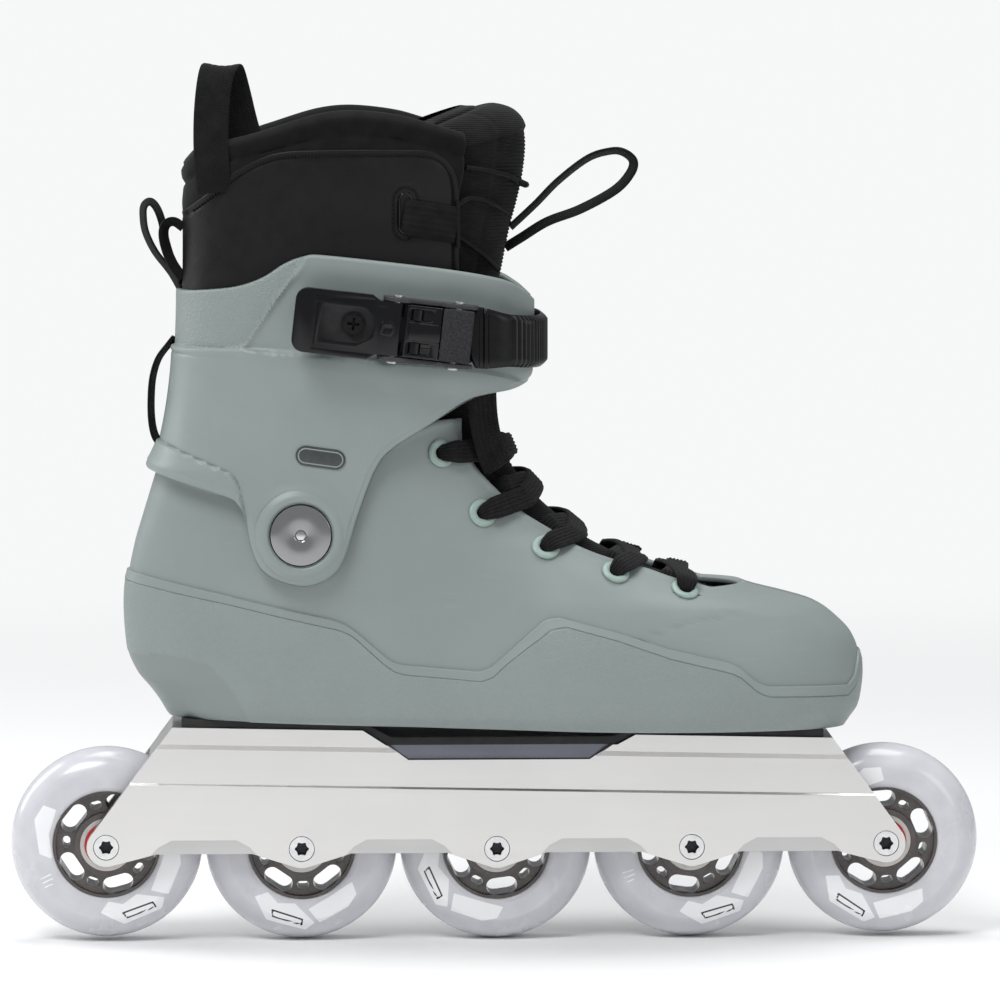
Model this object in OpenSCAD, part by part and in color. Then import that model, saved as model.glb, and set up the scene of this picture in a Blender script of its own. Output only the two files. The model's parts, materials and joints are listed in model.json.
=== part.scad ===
// Right-foot inline skate with five wheels, a hinged cuff and a ratchet buckle.
// X points to the toe, Y to the inner side of the foot, Z up; the origin is on the ground
// under the middle axle. All lengths are in millimetres and all angles in degrees.

/* [Wheels] */
// Outside diameter of a wheel
wheel_d = 80; // [76:1:80]
// Distance between neighbouring axles
pitch = 81.25; // [81.25:0.25:82]
// How much higher the two end axles sit than the middle one
rocker = 1.4; // [0:0.1:1.6]
// Large openings round each hub
hub_windows = 5; // [4:1:5]

/* [Frame] */
// Height of the frame's top plane above the ground at the middle axle
frame_top = 89; // [88.8:0.1:91]
// Nose-down lean of the frame's top plane
frame_tilt = 1.15; // [1:0.05:1.2]
// Distance between the two mount bolts
mount_spacing = 195; // [193:0.5:196]
// Thickness of the side plates at the axles
plate_t = 5; // [4.6:0.1:5.4]

/* [Boot] */
// Greatest width of the shell, across the ball of the foot
shell_width = 108; // [100:1:112]
// Wall thickness of the shell
shell_wall = 3.2; // [2.8:0.1:3.4]
// Width of the cuff across the pivots
cuff_width = 96; // [95:0.5:98]
// Wall thickness of the cuff
cuff_wall = 3.4; // [3:0.1:3.5]
// Thickness of the padded liner inside the shell
liner_wall = 5; // [4:0.5:6]

/* [Hidden] */
$fn = 64;

// Wheel, axle and 608 bearing sizes
wheel_w = 24;
core_r = 22.4;
crown_r = 12.5;
bearing_r = 11;
bearing_bore_r = 4;
bearing_w = 7;
bearing_mid = 8.5;
ball_r = 1.985;
ball_path_r = 7.5;
ball_count = 7;
groove_r = 2.03;
axle_r = 3.97;
axle_head_r = 5.1;
boss_r = 8.1;
boss_face = bearing_mid + bearing_w / 2 + 0.03;
hub_turns = [141.5, 20, 62, 118, 95];

// Frame sizes
channel_half = 15;
plate_half = channel_half + plate_t;
flange_half = 22;
well_gap = 1.5;
damping_t = 3.5;
bolt_r = 3.95;
mount_mid = -0.8;
slope = tan(frame_tilt);
sole_z = frame_top + damping_t;
sole_t = 8;
deck_low = 83.8;

// Cuff pivot
pivot = [-81.6, 174.1];
pivot_cap_r = 12.5;
barrel_r = 6;

// Colours
sage = [0.45, 0.49, 0.48];
sage_light = [0.58, 0.66, 0.62];
black = [0.05, 0.05, 0.055];
steel = [0.72, 0.72, 0.74];

function axle_x(i) = (i - 2) * pitch;
function axle_z(i) = wheel_d / 2 + rocker * pow((i - 2) / 2, 2);
function smooth(t) = let (c = min(1, max(0, t))) c * c * (3 - 2 * c);
function mix(a, b, t) = a + (b - a) * t;

// Puts a part that is built along +Z on axle i, with +Z turned to the outer side of the foot
module at_axle(i) {
    translate([axle_x(i), 0, axle_z(i)])
        rotate([90, 0, 0])
            children();
}

// Extrudes a side-view outline in X and Z from y0 to y1
module across(y0, y1) {
    translate([0, y1, 0])
        rotate([90, 0, 0])
            linear_extrude(y1 - y0)
                children();
}

// Leans a part nose-down with the frame's top plane
module leaned() {
    rotate([0, frame_tilt, 0])
        children();
}

// A ring with a rectangular section, on the Z axis
module ring(r_in, r_out, z0, z1) {
    translate([0, 0, z0])
        difference() {
            cylinder(r = r_out, h = z1 - z0);
            translate([0, 0, -1])
                cylinder(r = r_in, h = z1 - z0 + 2);
        }
}

// ---------------------------------------------------------------- wheels

module tyre() {
    color([0.82, 0.82, 0.86, 0.8])
        rotate_extrude()
            intersection() {
                translate([core_r, -wheel_w / 2])
                    square([wheel_d / 2 - core_r, wheel_w]);
                union() {
                    translate([wheel_d / 2 - crown_r, 0])
                        circle(crown_r);
                    translate([core_r - 1, -wheel_w / 2])
                        square([wheel_d / 2 - crown_r - core_r + 4.5, wheel_w]);
                }
            }
}

// A slot whose length runs round the hub
module hub_slot(r, long, wide) {
    translate([r, 0, -wheel_w])
        linear_extrude(2 * wheel_w)
            union() {
                square([wide, long - wide], center = true);
                for (s = [-1, 1])
                    translate([0, s * (long - wide) / 2])
                        circle(d = wide);
            }
}

module hub(turn) {
    color([0.2, 0.17, 0.16])
        rotate([0, 0, turn])
            difference() {
                rotate_extrude()
                    polygon([
                        [9, -5], [bearing_r + 0.01, -5], [bearing_r + 0.01, -12], [13.2, -12], [13.4, -8],
                        [21, -8], [21.2, -10.5], [core_r - 0.02, -10.5],
                        [core_r - 0.02, 10.5], [21.2, 10.5], [21, 8],
                        [13.4, 8], [13.2, 12], [bearing_r + 0.01, 12], [bearing_r + 0.01, 5], [9, 5]
                    ]);
                for (k = [0 : hub_windows - 1]) {
                    rotate([0, 0, k * 360 / hub_windows])
                        hub_slot(17.3, 13, 6.8);
                    rotate([0, 0, (k + 0.5) * 360 / hub_windows])
                        hub_slot(16.8, 5.2, 3.2);
                }
            }
}

// Both outer races of one wheel, each with a shield on either side
module bearing_outers() {
    for (side = [-1, 1])
        translate([0, 0, side * bearing_mid]) {
            color(steel)
                rotate_extrude()
                    difference() {
                        translate([9.1, -bearing_w / 2])
                            square([bearing_r - 9.1, bearing_w]);
                        translate([ball_path_r, 0])
                            circle(groove_r);
                    }
            color([0.7, 0.1, 0.08])
                for (face = [-1, 1])
                    ring(5.9, 9.09, face * 3.2 - 0.2, face * 3.2 + 0.2);
        }
}

// The balls of both bearings of one wheel, each set held by a crown cage
module bearing_balls() {
    for (side = [-1, 1])
        translate([0, 0, side * bearing_mid]) {
            color(steel)
                for (k = [0 : ball_count - 1])
                    rotate([0, 0, k * 360 / ball_count])
                        translate([ball_path_r, 0, 0])
                            sphere(ball_r);
            color([0.75, 0.7, 0.55])
                difference() {
                    ring(6.9, 8.1, -1, 2.8);
                    for (k = [0 : ball_count - 1])
                        rotate([0, 0, k * 360 / ball_count])
                            translate([ball_path_r, 0, 0])
                                sphere(ball_r + 0.05);
                }
        }
}

module bearing_inners() {
    color(steel)
        for (i = [0 : 4], side = [-1, 1])
            at_axle(i)
                translate([0, 0, side * bearing_mid])
                    rotate_extrude()
                        difference() {
                            translate([bearing_bore_r, -bearing_w / 2])
                                square([1.75, bearing_w]);
                            translate([ball_path_r, 0])
                                circle(groove_r);
                        }
}

module bearing_spacers() {
    color([0.8, 0.8, 0.82])
        for (i = [0 : 4])
            at_axle(i)
                ring(bearing_bore_r + 0.02, 5.2, -4.98, 4.98);
}

module axles() {
    color([0.75, 0.75, 0.76])
        for (i = [0 : 4])
            at_axle(i)
                difference() {
                    union() {
                        translate([0, 0, -plate_half + 0.3])
                            cylinder(r = axle_r, h = 2 * plate_half - 2.6);
                        translate([0, 0, plate_half - 2.35])
                            cylinder(r = axle_head_r, h = 2.2);
                    }
                    translate([0, 0, plate_half - 3])
                        star_socket(2.6);
                }
}

// The six-lobed key hole of a screw
module star_socket(r) {
    linear_extrude(4)
        polygon([for (a = [0 : 10 : 350]) (r + 0.4 * cos(6 * a)) * [cos(a), sin(a)]]);
}

// ---------------------------------------------------------------- frame

// Where a line from point p touches a circle round c, on the given side
function tangent_point(p, c, r, side) =
    let (d = p - c, reach = norm(d), a = atan2(d[1], d[0]) + side * acos(r / reach))
    c + r * [cos(a), sin(a)];

function top_at(x) = frame_top - slope * x;

module frame_outline() {
    rear_axle = [axle_x(0), axle_z(0)];
    front_axle = [axle_x(4), axle_z(4)];
    rear_top = [-133.4, top_at(-133.4) + 2];
    front_top = [138.2, top_at(138.2) + 2];
    polygon([
        rear_top, tangent_point(rear_top, rear_axle, boss_r, 1), rear_axle, [axle_x(0), 38.3],
        [axle_x(4), 38.3], front_axle, tangent_point(front_top, front_axle, boss_r, -1), front_top,
        [61, top_at(61) + 2], [50, deck_low], [-46, deck_low], [-59, top_at(-59) + 2]
    ]);
    for (i = [0 : 4])
        translate([axle_x(i), axle_z(i)])
            circle(boss_r);
    for (i = [0 : 3]) {
        boss_slope(i, 1);
        boss_slope(i + 1, -1);
    }
}

// Slanted edge from the plate's lower edge down to the boss of an axle
module boss_slope(i, side) {
    axle = [axle_x(i), axle_z(i)];
    start = [axle_x(i) + side * 20.5, 38.3];
    polygon([start, tangent_point(start, axle, boss_r, -side), axle]);
}

module frame_section() {
    polygon([
        [-flange_half, 0], [-flange_half, -7], [-plate_half + 0.8, -9.5], [-plate_half + 0.8, -23.7],
        [-plate_half, -24.5], [-plate_half, -70], [plate_half, -70], [plate_half, -24.5],
        [plate_half - 0.8, -23.7], [plate_half - 0.8, -9.5], [flange_half, -7], [flange_half, 0]
    ]);
}

module frame() {
    color([0.78, 0.78, 0.8])
        difference() {
            union() {
                difference() {
                    intersection() {
                        across(-flange_half - 1, flange_half + 1)
                            frame_outline();
                        leaned()
                            translate([-200, 0, frame_top])
                                rotate([90, 0, 90])
                                    linear_extrude(400)
                                        frame_section();
                    }
                    channel();
                    for (side = [-1, 1])
                        shoulder_cut(side);
                }
                for (i = [0 : 4], side = [-1, 1])
                    at_axle(i)
                        rotate([side > 0 ? 0 : 180, 0, 0])
                            translate([0, 0, boss_face])
                                cylinder(r = 5.7, h = channel_half - boss_face + 0.2);
            }
            for (i = [0 : 4])
                at_axle(i) {
                    cylinder(r = bearing_bore_r, h = 60, center = true);
                    translate([0, 0, plate_half - 2.4])
                        cylinder(r = axle_head_r + 0.25, h = 10);
                }
            for (i = [0 : 3], side = [-1, 1])
                side_recess(i, side);
            for (x = [mount_mid - mount_spacing / 2, mount_mid + mount_spacing / 2])
                leaned()
                    translate([x, 0, 0]) {
                        translate([0, 0, frame_top - 20])
                            cylinder(r = 4.4, h = 30);
                        translate([0, 0, frame_top - 23])
                            cylinder(r = 7.4, h = 19.9);
                    }
        }
}

// The space between the side plates, with a round well over each wheel
module channel() {
    across(-channel_half, channel_half)
        union() {
            translate([-200, 0])
                square([400, 78]);
            for (i = [0 : 4])
                translate([axle_x(i), axle_z(i)])
                    circle(wheel_d / 2 + well_gap);
        }
}

// Steps the side plate in between the two mounts
module shoulder_cut(side) {
    y = side > 0 ? 17 : -30;
    across(y, y + 13)
        polygon([[-62, 96], [-36.9, 77.4], [38.6, 77.4], [66, 96]]);
}

// A shallow panel between two axles on the outside of a side plate
module side_recess(i, side) {
    mid = (axle_x(i) + axle_x(i + 1)) / 2;
    y = side > 0 ? plate_half - 0.6 : -plate_half - 2;
    across(y, y + 2.6)
        polygon([
            [mid - 23, 37], [mid - 19, 41.2], [mid - 13.5, 44.2], [mid + 13.5, 44.2],
            [mid + 19, 41.2], [mid + 23, 37]
        ]);
}

module damping_plate() {
    lift = 0.02;
    color(black)
        difference() {
            across(-21, 21)
                polygon([
                    [-131, top_at(-131) + lift], [-55.2, top_at(-55.2) + lift], [-45.4, deck_low + lift],
                    [49.4, deck_low + lift], [56.8, top_at(56.8) + lift], [136, top_at(136) + lift],
                    [136, top_at(136) + damping_t - lift], [58, top_at(58) + damping_t - lift],
                    [48, deck_low + damping_t], [-44, deck_low + damping_t],
                    [-56, top_at(-56) + damping_t - lift], [-131, top_at(-131) + damping_t - lift]
                ]);
            at_mounts()
                translate([0, 0, -20])
                    cylinder(r = 4.4, h = 40);
        }
}

// Places a part on the frame's top plane at each mount bolt
module at_mounts() {
    for (x = [mount_mid - mount_spacing / 2, mount_mid + mount_spacing / 2])
        leaned()
            translate([x, 0, frame_top])
                children();
}

module mount_bolts() {
    color(steel)
        at_mounts()
            difference() {
                union() {
                    translate([0, 0, -7.2])
                        cylinder(r = 7, h = 3.05);
                    translate([0, 0, -5])
                        cylinder(r = bolt_r, h = 18);
                }
                translate([0, 0, -8])
                    cylinder(r = 2.6, h = 2.8, $fn = 6);
            }
}

module mount_washers() {
    color(steel)
        at_mounts()
            ring(4.2, 7.2, -4.1, -3.15);
}

module mount_inserts() {
    color(steel)
        at_mounts() {
            ring(4, 6, damping_t + 0.5, damping_t + sole_t + 0.1);
            ring(4, 9, damping_t + sole_t + 0.1, damping_t + sole_t + 1.6);
        }
}

// ---------------------------------------------------------------- lofted walls

// A wall between an outer and an inner grid of points. Each row runs round the back from one
// front end to the other. Rows below closed_rows join up at the front, and a floor closes
// the bottom when closed_rows is more than 0.
module wall(outer, inner, closed_rows) {
    rows = len(outer);
    cols = len(outer[0]);
    shift = rows * cols;
    last = rows - 1;
    function at(k, j) = k * cols + ((k < closed_rows && j == cols - 1) ? 0 : j);
    function quad(a, b, c, d) = [[a, b, c], [a, c, d]];
    points = concat([for (r = outer) each r], [for (r = inner) each r]);
    skins = [
        for (k = [0 : last - 1], j = [0 : cols - 2])
            each concat(
                quad(at(k, j), at(k, j + 1), at(k + 1, j + 1), at(k + 1, j)),
                quad(shift + at(k, j), shift + at(k + 1, j), shift + at(k + 1, j + 1), shift + at(k, j + 1))
            )
    ];
    top_rim = [
        for (j = [0 : cols - 2])
            each quad(at(last, j), at(last, j + 1), shift + at(last, j + 1), shift + at(last, j))
    ];
    front_rims = [
        for (k = [max(0, closed_rows - 1) : last - 1])
            each concat(
                quad(at(k, 0), at(k + 1, 0), shift + at(k + 1, 0), shift + at(k, 0)),
                quad(at(k, cols - 1), shift + at(k, cols - 1),
                    shift + at(k + 1, cols - 1), at(k + 1, cols - 1))
            )
    ];
    bottom_rim = [
        for (j = [0 : cols - 2])
            each quad(at(0, j), shift + at(0, j), shift + at(0, j + 1), at(0, j + 1))
    ];
    floors = [
        [for (j = [cols - 2 : -1 : 0]) at(0, j)],
        [for (j = [0 : cols - 2]) shift + at(0, j)]
    ];
    base = closed_rows > 0 ? floors : bottom_rim;
    polyhedron(points, concat(skins, top_rim, front_rims, base), convexity = 10);
}

// A solid skinned over rings of points, each ring with the same number of points
module skin(rings) {
    n = len(rings[0]);
    last = len(rings) - 1;
    sides = [
        for (k = [0 : last - 1], j = [0 : n - 1])
            let (a = k * n + j, b = k * n + (j + 1) % n)
            each [[a, b, b + n], [a, b + n, a + n]]
    ];
    ends = [[for (j = [n - 1 : -1 : 0]) j], [for (j = [0 : n - 1]) last * n + j]];
    polyhedron([for (r = rings) each r], concat(sides, ends), convexity = 6);
}

// Half-width of a superellipse at u from -1 to 1
function bow(u, n) = pow(max(0, 1 - pow(min(1, abs(u)), n)), 1 / n);

// Angles round the back, from one front end to the other, both at the given reach
function sweep(reach, cols) = [for (j = [0 : cols - 1]) mix(-reach, reach, j / (cols - 1))];

// ---------------------------------------------------------------- shell

// Back and front of the shell's side view, as [height, X]
heel_line = [
    [92, -136], [98, -139.2], [104.3, -143.8], [110.6, -149], [121, -153], [142, -154.3],
    [152.5, -153.6], [167, -150.9], [179.6, -147.2], [198, -141.6], [214, -137]
];
toe_line = [
    [92, 146.3], [98, 150], [104.3, 152.2], [114.8, 153.4], [123.2, 152.6], [129.4, 150],
    [135.7, 143.8], [142, 134], [145.5, 122], [148.3, 110.4], [154.6, 90.3], [160.8, 74.4],
    [167, 59.8], [173.4, 43], [179.7, 33.4], [186, 25.9], [198.5, 13.4], [214, 1]
];
// Half-widths at sole level and at ankle level, as [X, share of the shell's half-width]
sole_plan = [[-154, 0.6], [-120, 0.73], [-80, 0.77], [-40, 0.78], [0, 0.87], [40, 0.98], [70, 1], [110, 0.96], [153, 0.86]];
ankle_plan = [[-154, 0.58], [-120, 0.75], [-81, 0.82], [-50, 0.8], [-20, 0.78], [10, 0.8], [40, 0.87], [90, 0.86]];
// How much the shell's lower edge draws in, as [height, share]
edge_round = [[92.5, 0.86], [94, 0.91], [97, 0.95], [102, 0.98], [108, 1]];
// Reach of each row round to the throat, as [height, angle]
throat_reach = [[153, 180], [155, 171], [160, 163], [170, 160], [190, 150], [211, 144]];

shell_rows = [
    92.5, 94, 97, 102, 108, 115, 123, 130, 136, 141, 145, 148, 150.5, 152.5,
    155, 159, 164, 170, 177, 184, 191, 198, 205, 211
];
shell_closed = 14;
shell_cols = 49;

function rise(z) = z + sole_z - 92.5;
function shell_half(x, z) =
    shell_width / 2 * lookup(z, edge_round)
    * mix(lookup(x, sole_plan), lookup(x, ankle_plan), smooth((z - 115) / 45));
// Sideways curve of the boot towards the big toe
function bend(x) = 5 * smooth((x - 30) / 120);
// How far the lean of the sole lowers a point of the boot
function droop(x, z) = slope * x * (1 - smooth((z - 104) / 50));
// Outer shell width at a point of the side view, measured from the middle plane
function shell_y(x, z, wall) =
    let (b = lookup(z, heel_line) + wall, f = lookup(z + 0.7 * wall, toe_line) - wall)
    (shell_half(x, z) - wall) * bow((2 * x - b - f) / (f - b), x > (b + f) / 2 ? mix(2.9, 2.3, smooth((z - 130) / 30)) : 2.7);
function shell_point(a, z, zw, wall) =
    let (
        b = lookup(z, heel_line) + wall,
        f = lookup(z + 0.7 * wall, toe_line) - wall,
        x = mix(b, f, (1 - cos(a)) / 2),
        y = shell_y(x, z, wall) * sign(a),
        y_side = y + bend(x)
    )
    [x, y_side, rise(zw) - droop(x, z)];

shell_outer = [
    for (k = [0 : len(shell_rows) - 1])
        let (z = shell_rows[k], reach = k < shell_closed ? 180 : lookup(z, throat_reach))
        [for (a = sweep(reach, shell_cols)) shell_point(a, z, z, 0)]
];
shell_inner = [
    for (k = [0 : len(shell_rows) - 1])
        let (
            z = shell_rows[k],
            zi = max(z, mix(92.5 + sole_t, 110, k / 5)),
            reach = k < shell_closed ? 180 : lookup(z, throat_reach)
        )
        [for (a = sweep(reach, shell_cols)) shell_point(a, zi, zi, shell_wall)]
];

// Side-view cut that leaves the shell's upper edge low behind the cuff pivots
module collar_cut() {
    across(-70, 70)
        polygon([
            [-160, 201.5], [-141, 201.5], [-128, 197], [-112, 193], [-96, 197], [-70, 213],
            [-60, 230], [-160, 230]
        ]);
}

eyelet_spots = [[-23.4, 206.3], [-6.4, 181.5], [19.6, 167.5], [48.4, 157.2], [77.3, 149.7]];

// Places a part on the shell's outer surface at an eyelet, with +Z pointing outwards
module at_eyelet(spot, side) {
    x = spot[0];
    z = spot[1];
    y = shell_y(x, z, 0);
    dx = shell_y(x + 1, z, 0) - shell_y(x - 1, z, 0);
    dz = shell_y(x, z + 1, 0) - shell_y(x, z - 1, 0);
    normal = [-dx / 2, side, -dz / 2] / norm([-dx / 2, side, -dz / 2]);
    translate([x, side * y + bend(x), rise(z) - droop(x, z)])
        rotate([0, acos(normal[2]), atan2(normal[1], normal[0])])
            children();
}

module shell() {
    color(sage)
        difference() {
            wall(shell_outer, shell_inner, shell_closed);
            collar_cut();
            for (side = [-1, 1])
                at_pivot(side) {
                    translate([0, 0, 20])
                        cylinder(r = barrel_r + 0.05, h = 40);
                    translate([0, 0, 20])
                        cylinder(r = pivot_cap_r + 0.5, h = 20.1);
                }
            for (spot = eyelet_spots, side = [-1, 1])
                at_eyelet(spot, side) {
                    translate([0, 0, -12])
                        cylinder(r = 3.1, h = 24);
                    translate([0, 0, -0.7])
                        cylinder(r = 6.1, h = 6);
                }
            at_mounts()
                translate([0, 0, -2])
                    cylinder(r = 6.02, h = sole_t + 10);
        }
}

module eyelets() {
    color(sage_light)
        for (spot = eyelet_spots, side = [-1, 1])
            at_eyelet(spot, side) {
                ring(2.5, 3.05, -3.1, 0.7);
                ring(2.5, 5.9, -0.65, 0.7);
            }
}

// ---------------------------------------------------------------- cuff

// Puts a part on the cuff's pivot line, with +Z pointing to the given side
module at_pivot(side) {
    translate([pivot[0], 0, pivot[1]])
        rotate([-90 * side, 0, 0])
            children();
}

// Back and front of the cuff's side view, as [height, X]
cuff_back = [[150, -147], [198, -145.4], [204, -142.4], [210, -140], [250, -134.6], [273, -134], [290, -134.5]];
cuff_front = [[150, 12], [232, 14.5], [240, 17], [270, 17.6], [290, 17]];
cuff_half = [[150, 0.5], [200, 0.5], [230, 0.495], [255, 0.505], [290, 0.508]];
// Upper and lower edge of the cuff's side view, as [X, height]
cuff_top = [
    [-134, 273.4], [-108.7, 275.8], [-97.6, 279.1], [-82, 287.5], [-73.7, 288.7],
    [-24.4, 283.3], [0.7, 278.7], [13.7, 272], [17.6, 268]
];
cuff_low = [
    [-145.4, 199], [-112.8, 189.3], [-106.6, 185.5], [-103.7, 179.6], [-101.7, 167.5], [-97.6, 159.3],
    [-90.2, 155.2], [-79.9, 152.8], [-69.6, 156.5], [-63.5, 163.5], [-57.3, 184], [-49.9, 202.4],
    [-43.7, 209.8], [-28.4, 218.6], [-11.8, 228.5], [5.1, 231.9], [12.5, 233.4], [17.6, 236]
];
cuff_reach = 162;
cuff_cols = 73;
cuff_steps = 12;

function cuff_x(a, z, wall) =
    mix(lookup(z, cuff_back) + wall * (z < 215 ? 0.72 : 1), lookup(z, cuff_front) - wall, (1 - cos(a)) / 2);
function cuff_y(a, z, wall) =
    (cuff_width * lookup(z, cuff_half) - wall * (z < 215 ? 0.82 : 1)) * bow(cos(a), 2.6) * sign(a);
function cuff_edge(a, line, z) = lookup(cuff_x(a, z, 0), line);
function cuff_low_at(a) = cuff_edge(a, cuff_low, cuff_edge(a, cuff_low, 200));
function cuff_top_at(a) = cuff_edge(a, cuff_top, 276);
function cuff_grid(wall) = [
    for (k = [0 : cuff_steps])
        [
            for (a = sweep(cuff_reach, cuff_cols))
                let (z = mix(cuff_low_at(a), cuff_top_at(a), k / cuff_steps))
                [cuff_x(a, z, wall), cuff_y(a, z, wall), z]
        ]
];

module cuff() {
    color(sage)
        difference() {
            union() {
                wall(cuff_grid(0), cuff_grid(cuff_wall), 0);
                for (side = [-1, 1])
                    at_pivot(side)
                        ring(3, 17.8, 44.8, 50);
            }
            for (side = [-1, 1])
                at_pivot(side) {
                    translate([0, 0, 40])
                        cylinder(r = 8.5, h = 20);
                    translate([0, 0, 47.6])
                        cylinder(r = pivot_cap_r + 0.35, h = 10);
                }
            in_buckle()
                translate([0, 0, -12])
                    cylinder(r = 2.55, h = 20);
            strap_anchor()
                translate([0, 0, -12])
                    cylinder(r = 2.55, h = 20);
        }
}

module cuff_nuts() {
    color(steel)
        for (side = [-1, 1])
            at_pivot(side) {
                ring(4, pivot_cap_r, 38.4, 40.05);
                ring(4, barrel_r, 40.05, 47.6);
            }
}

module cuff_bolts() {
    color([0.55, 0.57, 0.6])
        for (side = [-1, 1])
            at_pivot(side)
                difference() {
                    union() {
                        translate([0, 0, 47.65])
                            cylinder(r = pivot_cap_r, h = 2.9);
                        translate([0, 0, 39])
                            cylinder(r = bolt_r, h = 9);
                    }
                    translate([0, 0, 48.8])
                        cylinder(r = 2.3, h = 3, $fn = 6);
                }
}

module cuff_bushings() {
    color(black)
        for (side = [-1, 1])
            at_pivot(side)
                ring(barrel_r + 0.05, 8.49, 44.9, 47.55);
}

// ---------------------------------------------------------------- buckle and strap

buckle_spot = [-59.9, 261];
buckle_lean = 6.5;
buckle_y = 49.05;
lever_pin_x = 16.8;
latch_pin_x = 41.8;
pin_lift = 7.4;

// The buckle's own frame: +X along the strap to the front, +Y up, +Z out of the cuff
module in_buckle() {
    translate([buckle_spot[0], -buckle_y, buckle_spot[1]])
        rotate([90, buckle_lean, 0])
            children();
}

module buckle_base() {
    color(black)
        in_buckle()
            difference() {
                union() {
                    translate([-16, -9, 0])
                        cube([66, 18, 1.6]);
                    for (s = [-1, 1])
                        translate([11, s * 12.1 - 0.9, 0])
                            linear_extrude(10.6)
                                square([39, 1.8]);
                    for (s = [-1, 1])
                        translate([11, s * 10.1 - 1.15, 0])
                            cube([39, 2.3, 1.6]);
                }
                cylinder(r = 2.7, h = 10, center = true);
                for (x = [lever_pin_x, latch_pin_x])
                    translate([x, 0, pin_lift])
                        rotate([90, 0, 0])
                            cylinder(r = 1.5, h = 40, center = true);
            }
}

module buckle_screw() {
    color([0.15, 0.15, 0.16])
        in_buckle() {
            difference() {
                union() {
                    translate([0, 0, 1.65])
                        cylinder(r = 4.6, h = 2);
                    translate([0, 0, -5])
                        cylinder(r = 2.5, h = 7);
                }
                translate([0, 0, 2.6])
                    for (turn = [0, 90])
                        rotate([0, 0, turn])
                            cube([5, 1, 4], center = true);
            }
            ring(2.52, 6.5, -5.35, -4.25);
        }
}

// A hinge pin of the buckle, with a small head at both ends
module buckle_pin(x) {
    color(steel)
        in_buckle()
            translate([x, 0, pin_lift])
                rotate([90, 0, 0]) {
                    cylinder(r = 1.49, h = 26.4, center = true);
                    for (s = [-1, 1])
                        translate([0, 0, s * 13.5])
                            cylinder(r = 2.2, h = 0.9, center = true);
                }
}

module lever() {
    color(black)
        in_buckle()
            difference() {
                union() {
                    translate([-24, -10.9, 6.4])
                        cube([lever_pin_x + 26, 21.8, 4.6]);
                    translate([lever_pin_x, 0, pin_lift])
                        rotate([90, 0, 0])
                            cylinder(r = 3.2, h = 21.8, center = true);
                }
                translate([lever_pin_x, 0, pin_lift])
                    rotate([90, 0, 0])
                        cylinder(r = 1.55, h = 40, center = true);
                translate([-13.5, -7.5, -1])
                    cube([15, 15, 20]);
                translate([1, 0, -1])
                    cylinder(r = 7.5, h = 20);
                translate([-30, -30, 14.8])
                    rotate([0, 14, 0])
                        cube([26, 60, 8]);
                translate([lever_pin_x - 6, -5.4, -1])
                    cube([20, 10.8, 20]);
            }
}

module latch() {
    color([0.14, 0.14, 0.15])
        in_buckle()
            difference() {
                union() {
                    translate([latch_pin_x, 0, pin_lift])
                        rotate([90, 0, 0])
                            cylinder(r = 3.4, h = 21.6, center = true);
                    translate([latch_pin_x - 6, -10.8, pin_lift + 0.6])
                        cube([12.5, 21.6, 3.8]);
                    for (s = [-1, 1])
                        translate([latch_pin_x - 19, s * 6.8 - 2.2, pin_lift - 1.6])
                            cube([17, 4.4, 3]);
                    for (s = [-1, 1])
                        translate([latch_pin_x - 16.5, s * 6.8, pin_lift + 0.8])
                            rotate([90, 0, 0])
                                cylinder(r = 2.6, h = 4.4, center = true);
                }
                translate([latch_pin_x, 0, pin_lift])
                    rotate([90, 0, 0])
                        cylinder(r = 1.55, h = 40, center = true);
                translate([latch_pin_x - 7, -3, pin_lift - 6])
                    cube([12.5, 6, 8.6]);
            }
}

// Coil springs round the two hinge pins, between the arms
module buckle_springs() {
    color(steel)
        in_buckle()
            for (x = [lever_pin_x, latch_pin_x])
                translate([x, 0, pin_lift])
                    rotate([90, 0, 0])
                        coil(2.05, 0.35, 4.6, 4);
}

// A coil of round wire on the Z axis
module coil(r, wire, length, turns) {
    steps = turns * 16;
    skin([
        for (k = [0 : steps])
            let (a = k * 360 / 16, z = length * (k / steps - 0.5))
            [
                for (b = [0 : 60 : 300])
                    [(r + wire * cos(b)) * cos(a), (r + wire * cos(b)) * sin(a), z + wire * sin(b)]
            ]
    ]);
}

// Inner face of the strap in plan view, as [X, Y], from inside the buckle round the front
strap_line = [
    [-36, -50.8], [-22, -50.8], [-10, -50.8], [1, -48.5], [9.5, -43], [15.5, -34], [19, -20], [20, 0],
    [18.5, 18], [14, 30], [6, 37.3], [-4, 42.4], [-18, 46.8], [-38, 49.4], [-54, 50]
];
strap_t = 2.2;
strap_half = 9.2;

// Side-view height of the strap's middle at X
function strap_mid(x) = buckle_spot[1] - tan(buckle_lean) * (x - buckle_spot[0]);

// Point k of the strap, moved out of its inner face and up from its middle
function strap_point(k, out, up) =
    let (
        p = strap_line[k],
        q = strap_line[min(len(strap_line) - 1, k + 1)] - strap_line[max(0, k - 1)],
        normal = [q[1], -q[0]] / norm(q),
        spot = p + out * normal
    )
    [spot[0], spot[1], strap_mid(p[0]) + up];

module ladder_strap() {
    color(black)
        difference() {
            skin([
                for (k = [0 : len(strap_line) - 1])
                    [
                        strap_point(k, 0, -strap_half), strap_point(k, strap_t, -strap_half),
                        strap_point(k, strap_t, strap_half), strap_point(k, 0, strap_half)
                    ]
            ]);
            strap_anchor()
                translate([0, 0, -12])
                    cylinder(r = 2.55, h = 24);
        }
}

// The screw place that holds the strap on the inner side of the cuff
module strap_anchor() {
    translate([-40, 48.6, strap_mid(-40)])
        rotate([-90, 0, 0])
            children();
}

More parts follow.
